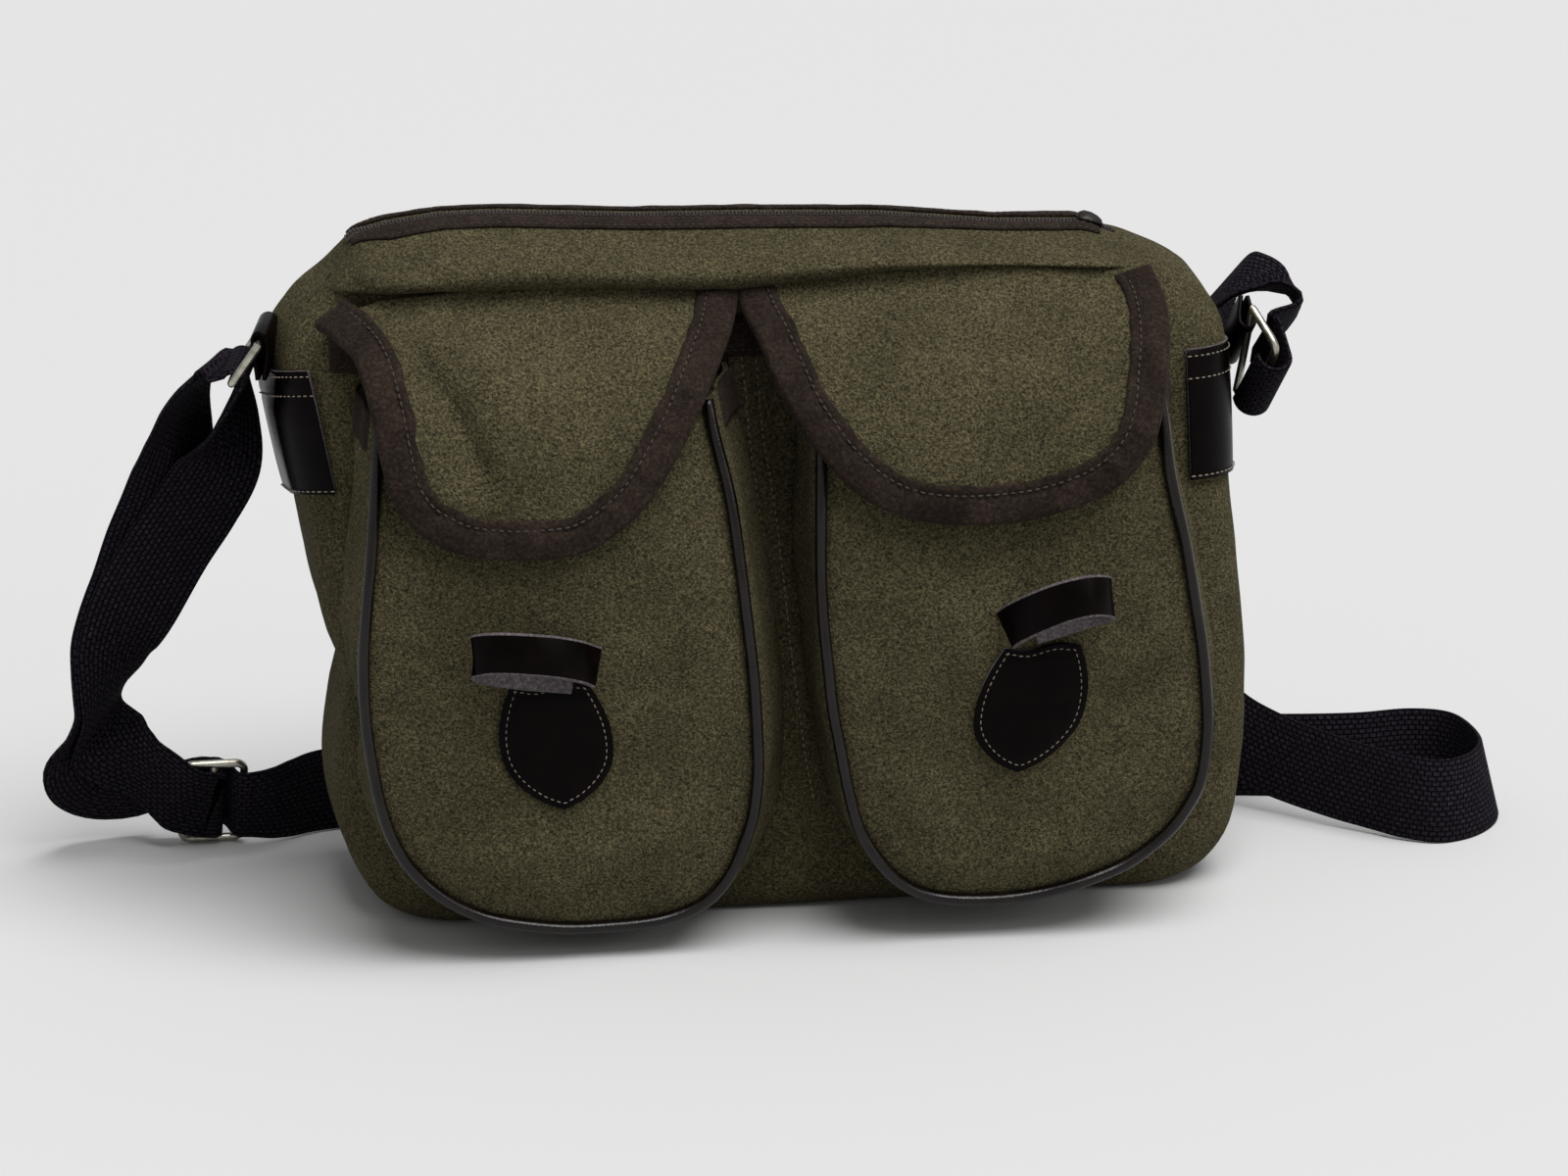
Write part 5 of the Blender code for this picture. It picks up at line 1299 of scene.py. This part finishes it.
# The single layer, from the buckle behind the bag to the right ring
SINGLE_ROWS = (
    (-221.5, 72.1, 24.8, 0.0, -0.42, 0.907),
    (-217.0, 69.8, 23.7, 0.0, -0.42, 0.907),
    (-214.6, 65.0, 21.5, 0.0, -0.42, 0.907),
    (-212.4, 62.7, 20.6, 0.0, -0.42, 0.907),
    (-208.0, 62.5, 20.5, 0.0, -0.42, 0.907),
    (-200.0, 64.5, 20.4, 0.0, -0.36, 0.93),
    (-190.0, 70.0, 20.0, 0.0, -0.20, 0.98),
    (-172.0, 81.0, 19.4, 0.0, -0.05, 1.0),
    (-130.0, 88.0, 19.0, 0.0, 0.0, 1.0),
    (-60.0, 87.0, 19.0, 0.0, 0.0, 1.0),
    (20.0, 84.0, 19.0, 0.0, 0.0, 1.0),
    (100.0, 82.0, 19.0, 0.0, 0.0, 1.0),
    (160.0, 77.0, 19.0, 0.0, 0.0, 1.0),
    (205.0, 70.0, 19.0, 0.0, 0.0, 1.0),
    (245.0, 62.0, 19.0, 0.0, 0.0, 1.0),
    (278.0, 58.5, 19.0, 0.0, 0.0, 1.0),
    (303.0, 60.5, 19.0, -0.05, 0.0, 1.0),
    (321.0, 54.0, 19.0, -0.15, 0.0, 0.99),
    (329.5, 36.0, 18.8, -0.25, 0.0, 0.97),
    (328.0, 15.0, 18.8, -0.22, 0.0, 0.98),
    (317.0, -2.5, 18.9, -0.12, 0.0, 0.99),
    (301.5, -10.0, 19.3, -0.05, 0.0, 1.0),
    (287.0, -4.0, 20.0, 0.0, 0.0, 1.0),
    (275.0, 6.5, 21.0, 0.0, 0.0, 1.0),
    (259.0, 20.0, 23.0, 0.03, 0.0, 1.0),
    (238.0, 38.0, 27.5, 0.1, 0.0, 1.0),
    (218.0, 54.0, 36.0, 0.25, 0.0, 0.97),
    (202.0, 64.0, 52.0, 0.5, 0.0, 0.86),
    (193.0, 67.0, 78.0, 0.85, 0.0, 0.5),
    (189.0, 68.0, 112.0, 1.0, 0.0, 0.1),
    (189.0, 68.0, 150.0, 1.0, 0.0, 0.0),
    (192.0, 67.0, 184.0, 1.0, 0.15, 0.0),
    (202.5, 67.5, 205.0, 0.90, 0.42, 0.0),
    (211.0, 62.0, 224.5, 0.72, 0.69, 0.0),
    (213.5, 50.5, 236.5, 0.40, 0.92, 0.0),
    (217.0, 36.0, 243.0, 0.10, 0.99, 0.05),
    (225.0, 23.0, 246.0, 0.00, 1.0, 0.00),
    (235.0, 13.5, 244.0, 0.10, 0.96, -0.25),
    (237.0, 8.0, 237.5, 0.10, 0.88, -0.47),
)
BUCKLE_FOOT = (-223.5, 75.2, 2.0)
BUCKLE_UP = (0.0, -0.42, 0.907)
BUCKLE_HALF, BUCKLE_TALL, TAIL = 13.0, 44.0, 7.5
STRAP_STEP = 2.5
YARN_LONG, YARN_WIDE, YARN_GAP = 3.3, 2.3, 0.55
webbing, tree, shader = new_material("basket-weave cotton webbing", "#17131a", 0.9, Specular_IOR_Level=0.06)
along_band = add_node(tree, "ShaderNodeUVMap", uv_map="surface")
inputs = {"Vector": along_band.outputs[0], "Scale": 1.0, "Mortar Size": YARN_GAP, "Mortar Smooth": 1.0,
          "Brick Width": YARN_LONG, "Row Height": YARN_WIDE}
weave = add_node(tree, "ShaderNodeTexBrick", inputs, offset=0.5).outputs["Fac"]
threads = ramp(tree, noise_at(tree, 800.0), ((0.3, "#141017"), (0.55, "#201b23"), (0.8, "#3a343d")))
# Painted shade: the gaps between the yarns are coloured near black for the shade down in them, and the
# relief sinks them as well.
coloured(tree, shader, blend_colours(tree, weave, threads, srgb("#030204")))
level = add_node(tree, "ShaderNodeMath", {0: 1.0, 1: weave}, operation="SUBTRACT")
relief(tree, shader, level.outputs[0], 1.0, 0.0011)


def buckle_frame():
    """The middle of the buckle's bar, the way along it, and the way from it to the back."""
    up = Vector(BUCKLE_UP).normalized()
    return Vector(BUCKLE_FOOT) + up * BUCKLE_TALL / 2, up, Vector((-1, 0, 0)).cross(up)


def evenly(rows, step=STRAP_STEP):
    """The rows read at even steps along a smooth line through them."""
    length = np.linalg.norm(np.diff(np.array(rows, float)[:, :3], axis=0), axis=1).sum()
    return smooth_line(rows, int(length / step) + 1)


def doubled_layers():
    """The strap's two layers from the left ring to the buckle, each as rows of point and width."""
    bar, along, hang = ring_frame("left")
    bow = bar + hang * RING_DROP
    radius = RING_BEND["left"]
    start = [(*(bow + hang * s), *(-along), radius, radius, 0.0) for s in (0.0, 5.0)]
    rows = evenly(start + list(DOUBLED_ROWS))
    front, back = [], []
    for (point, across, out), (stand_front, stand_back, down) in zip(band_stations(rows), rows[:, 6:]):
        front.append((*(point + out * stand_front), *across))
        if point[2] < OUTER_UNTIL:
            back.append((*(point - out * stand_back - across * down), *across))
    out = hang.cross(-along).normalized()
    start = [(*(bow - out * radius + hang * s), *(-along)) for s in (0.0, 2.0)]
    back = start + list(OUTER_ROWS) + back[::4] + back[-1:]
    return front, [tuple(row) for row in evenly(back)]


radius = WIRE / 2 + GAP + WEB_THICK / 2
front, back = doubled_layers()
middle, up, behind = buckle_frame()
loop = hook(middle, behind, Vector((-1, 0, 0)), radius, ((TAIL, TAIL * 0.5), ()), 12)
path = [(*point, *up) for point in loop]
path.extend(reversed(front))
bar, along, hang = ring_frame("left")
bow = bar + hang * RING_DROP
out = hang.cross(-along).normalized()
turn = hook(bow, out, hang, RING_BEND["left"], ((), ()), 12)
path.extend((*point, *(-along)) for point in turn[1:-1])
path.extend(back[:-1])
bar, along, hang = ring_frame("right")
bow = bar + hang * RING_DROP
rise = Vector((0, 0, 1)) - along * along.z
rise.normalize()
out = along.cross(rise)
if out.x < 0:
    out = -out
last = hook(bow, out, rise, RING_BEND["right"], ((22.0, 14.0, 6.0), (1.5,)), 14)
single = [*back[-1:], *SINGLE_ROWS, *[(*point, *(-along)) for point in last[:2]]]
path.extend(tuple(row) for row in evenly(single))
path.extend((*point, *(-along)) for point in last[2:])
strap_section = rounded_band(WEB_WIDTH, WEB_THICK, 2)
stations = band_stations(path)
strap = sweep("webbing_shoulder_strap", stations, [strap_section] * len(stations), [webbing])
run = distance_along([station[0] for station in stations])
layer = strap.data.uv_layers.new(name="surface")
count = len(strap_section)
for polygon in strap.data.polygons:
    for loop_index in polygon.loop_indices:
        vertex = strap.data.loops[loop_index].vertex_index
        layer.data[loop_index].uv = (run[vertex // count], strap_section[vertex % count][0])
strap.data.set_sharp_from_angle(angle=math.radians(40))
finish_piece(strap, "webbing", "shoulder_strap")

# The strap's buckle: a frame of nickel-plated wire with a middle bar, which stands on its lower rail.
across, half = Vector((BUCKLE_HALF, 0, 0)), up * BUCKLE_TALL / 2
turn_in = 4.0
corners = []
for side_x, side_up in ((-1, -1), (1, -1), (1, 1), (-1, 1)):
    centre = middle + across * side_x + half * side_up
    inner = centre - Vector((side_x * turn_in, 0, 0)) - up * side_up * turn_in
    start = math.atan2(side_up, side_x) - math.pi / 4
    for turn in np.linspace(start, start + math.pi / 2, 7):
        corners.append(inner + Vector((math.cos(turn), 0, 0)) * turn_in + up * math.sin(turn) * turn_in)
buckle = tube("nickel_buckle_frame", corners, WIRE, nickel, cyclic=True)
finish_piece(buckle, "nickel", "strap_buckle")
buckle_bar = tube("nickel_buckle_bar", [middle - half, middle + half], WIRE * 0.9, nickel)
finish_piece(buckle_bar, "nickel")

# The zip: a closed coil zip in a dark tape in the slot along the top. A suede facing is sewn along each
# side of it, narrower at the left end, and the front one also to the right. The slider has been drawn to
# the right end.
ZIP_LEFT, ZIP_RIGHT, ZIP_SINK, ZIP_RISE = -169.0, 155.0, 0.6, 2.0
# How far from the zip's middle the cloth's height is taken, and where the facings' edge is
ZIP_BESIDE, FACING_EDGE = 6.5, 5.2
FACING_WIDTH, FACING_LEFT, FACING_RIGHT = 13.0, -168.0, 148.0
FACING_COLUMNS, FACING_ACROSS, FACING_SEAMS = 220, 13, (0.15, 0.85)
FACING_ROOM, FACING_SWELL, FACING_GROOVE, FACING_STITCH = 0.15, 0.45, 0.4, 0.2
COIL_LIFT, SLIDER_LIFT = 1.0, 1.9
# The facings' narrowing, as places across and shares of their width
NARROW_AT = (FACING_LEFT, FACING_LEFT + 16.0, 45.0, 105.0)
NARROW = {"front": (0.45, 1.0, 1.0, 0.6), "back": (0.45, 1.0, 1.0, 1.0)}
TAPE_SECTION = (
    (-4.6, -0.9), (4.6, -0.9), (4.6, 0.2), (2.6, 0.3), (2.4, 0.6), (-2.4, 0.6), (-2.6, 0.3), (-4.6, 0.2),
)
SLIDER_RIGHT, SLIDER_LENGTH, SLIDER_WIDTH, SLIDER_HEIGHT = 151.5, 11.0, 8.0, 4.0
# The slider along its length: share of the length, of the width and of the height
SLIDER_ROWS = (
    (0, 0.7, 0.5), (0.12, 0.9, 0.75), (0.3, 1.0, 1.0), (0.6, 0.92, 1.0), (0.85, 0.72, 0.8), (1, 0.6, 0.5),
)
# The slider's section, as shares of its half-width and height
SLIDER_SECTION = (
    (-1, 0), (1, 0), (1, 0.45), (0.7, 0.62), (0.3, 1), (-0.3, 1), (-0.7, 0.62), (-1, 0.45),
)


def speckled(name, base, roughness, scale, detail, stops, **constants):
    """A finish of one colour broken up by fine noise."""
    made, tree, shader = new_material(name, base, roughness, **constants)
    coloured(tree, shader, ramp(tree, noise_at(tree, scale, detail), stops))
    return made


zip_tape = speckled("dark woven zip tape", "#241c1a", 0.85, 900.0, 3.0, ((0.3, "#191311"), (0.7, "#352b28")))
coil = speckled("dark polyester zip coil", "#1e1917", 0.6, 500.0, 2.0, ((0.3, "#171211"), (0.7, "#332c29")))
dark_metal = speckled("blackened zinc slider", "#2c2a28", 0.4, 400.0, 3.0,
                      ((0.3, "#1f1d1c"), (0.7, "#45423e")), Metallic=1.0)
body_skin = surface_of(body)


def top_at(x, y):
    """The height of the body's top at a place beside the zip."""
    spot, _, _, _ = body_skin.ray_cast(Vector((x, y, 500.0)) * MM, Vector((0.0, 0.0, -1.0)))
    return spot.z / MM


line = []
for x in np.linspace(ZIP_LEFT, ZIP_RIGHT, 160):
    over_end = np.interp(x, (-168.0, -160.0), (ZIP_RISE, 0.0))
    height = (top_at(x, ZIP_BESIDE) + top_at(x, -ZIP_BESIDE)) / 2 - ZIP_SINK + over_end
    line.append(np.array((x, 0.0, height)))
stations = [(spot, (0, 1, 0), (0, 0, 1)) for spot in line]
tape = sweep("zip_tape", stations, [TAPE_SECTION] * len(stations), [zip_tape])
finish_piece(tape, "zip_tape", "zip")
tooth_sizes = {"Pitch": 0.0015, "Tooth width": 0.0052, "Tooth length": 0.001, "Tooth height": 0.0016}
coil_tree = bead_tree("zip coil", coil, tooth_sizes, ("Tooth length", "Tooth width", "Tooth height"),
                      "X", (8, 5), (1.0, 1.0), 0)
teeth = grown("zip_coil", [[spot + (0, 0, COIL_LIFT) for spot in line]], coil_tree, {"Pitch": 0.0015})
finish_piece(teeth, "zip_tape")


def facing_row(name, share, lift):
    """One line along a facing on the body's top, at a share of its width from the front."""
    edge = -FACING_EDGE if name == "front" else FACING_EDGE
    near = edge - FACING_WIDTH if name == "front" else edge
    row = []
    for x in np.linspace(FACING_LEFT, FACING_RIGHT, FACING_COLUMNS):
        y = edge + (near + FACING_WIDTH * share - edge) * np.interp(x, NARROW_AT, NARROW[name])
        uneven = 0.3 * noise.noise(Vector((x / 8.0, y / 8.0, 0.0)))
        row.append((x, y, top_at(x, y) + lift + uneven))
    return np.array(row)


facing_rows = []
for name in ("front", "back"):
    rows = []
    for share in np.linspace(0, 1, FACING_ACROSS):
        groove = sum(math.exp(-(((share - seam) / 0.05) ** 2)) for seam in FACING_SEAMS)
        swell = FACING_SWELL * math.sin(math.pi * share)
        rows.append(facing_row(name, share, SUEDE + FACING_ROOM + swell - FACING_GROOVE * groove))
    faces = grid_faces(len(rows), FACING_COLUMNS)
    facing = make_mesh(f"suede_zip_facing_{name}", np.concatenate(rows), faces, [suede])
    wall(facing, SUEDE)
    finish_piece(facing, "suede", f"zip_facing_{name}")
    lift = SUEDE + FACING_ROOM + FACING_STITCH
    facing_rows.extend(facing_row(name, seam, lift)[2:-2] for seam in FACING_SEAMS)
sew("zip_facing_stitches", facing_rows, "suede", brown_stitches, pitch=3.0, length=2.2, width=0.6)

x = SLIDER_RIGHT - SLIDER_LENGTH
left_top, right_top = top_at(x, ZIP_BESIDE), top_at(SLIDER_RIGHT, ZIP_BESIDE)
foot = Vector((x, 0.0, left_top - ZIP_SINK + SLIDER_LIFT))
forward = Vector((SLIDER_LENGTH, 0.0, right_top - left_top)).normalized()
stations, sections = [], []
for share, width, height in SLIDER_ROWS:
    half, tall = SLIDER_WIDTH / 2 * width, SLIDER_HEIGHT * height
    stations.append((foot + forward * SLIDER_LENGTH * share, (0, 1, 0), (0, 0, 1)))
    sections.append([(half * wide, tall * high) for wide, high in SLIDER_SECTION])
slider = sweep("dark_zip_slider", stations, sections, [dark_metal])
finish_piece(slider, "nickel", "zip_slider")

# The seam stitches: two rows of topstitching run down the front between the pockets, one beside each
# pocket's inner seam.
CENTRE_ROWS = (
    ((-9.2, 243), (-7.5, 225), (-5.5, 203), (-2.5, 180), (1.0, 150), (4.5, 120), (6.5, 96), (7.5, 78)),
    ((-3.5, 245), (-0.5, 211), (2.6, 191), (5.8, 166), (10.2, 122), (13.2, 96), (16.5, 70.5), (20.0, 51)),
)
pocket_skin = surface_of(pockets["left"], pockets["right"], body)
seam_rows = [laid_on(pocket_skin, smooth_line(row, 90), 0.3) for row in CENTRE_ROWS]
sew("gusset_stitches", seam_rows, "wool_felt", pale_stitches, pitch=3.3, length=2.1, width=0.65)
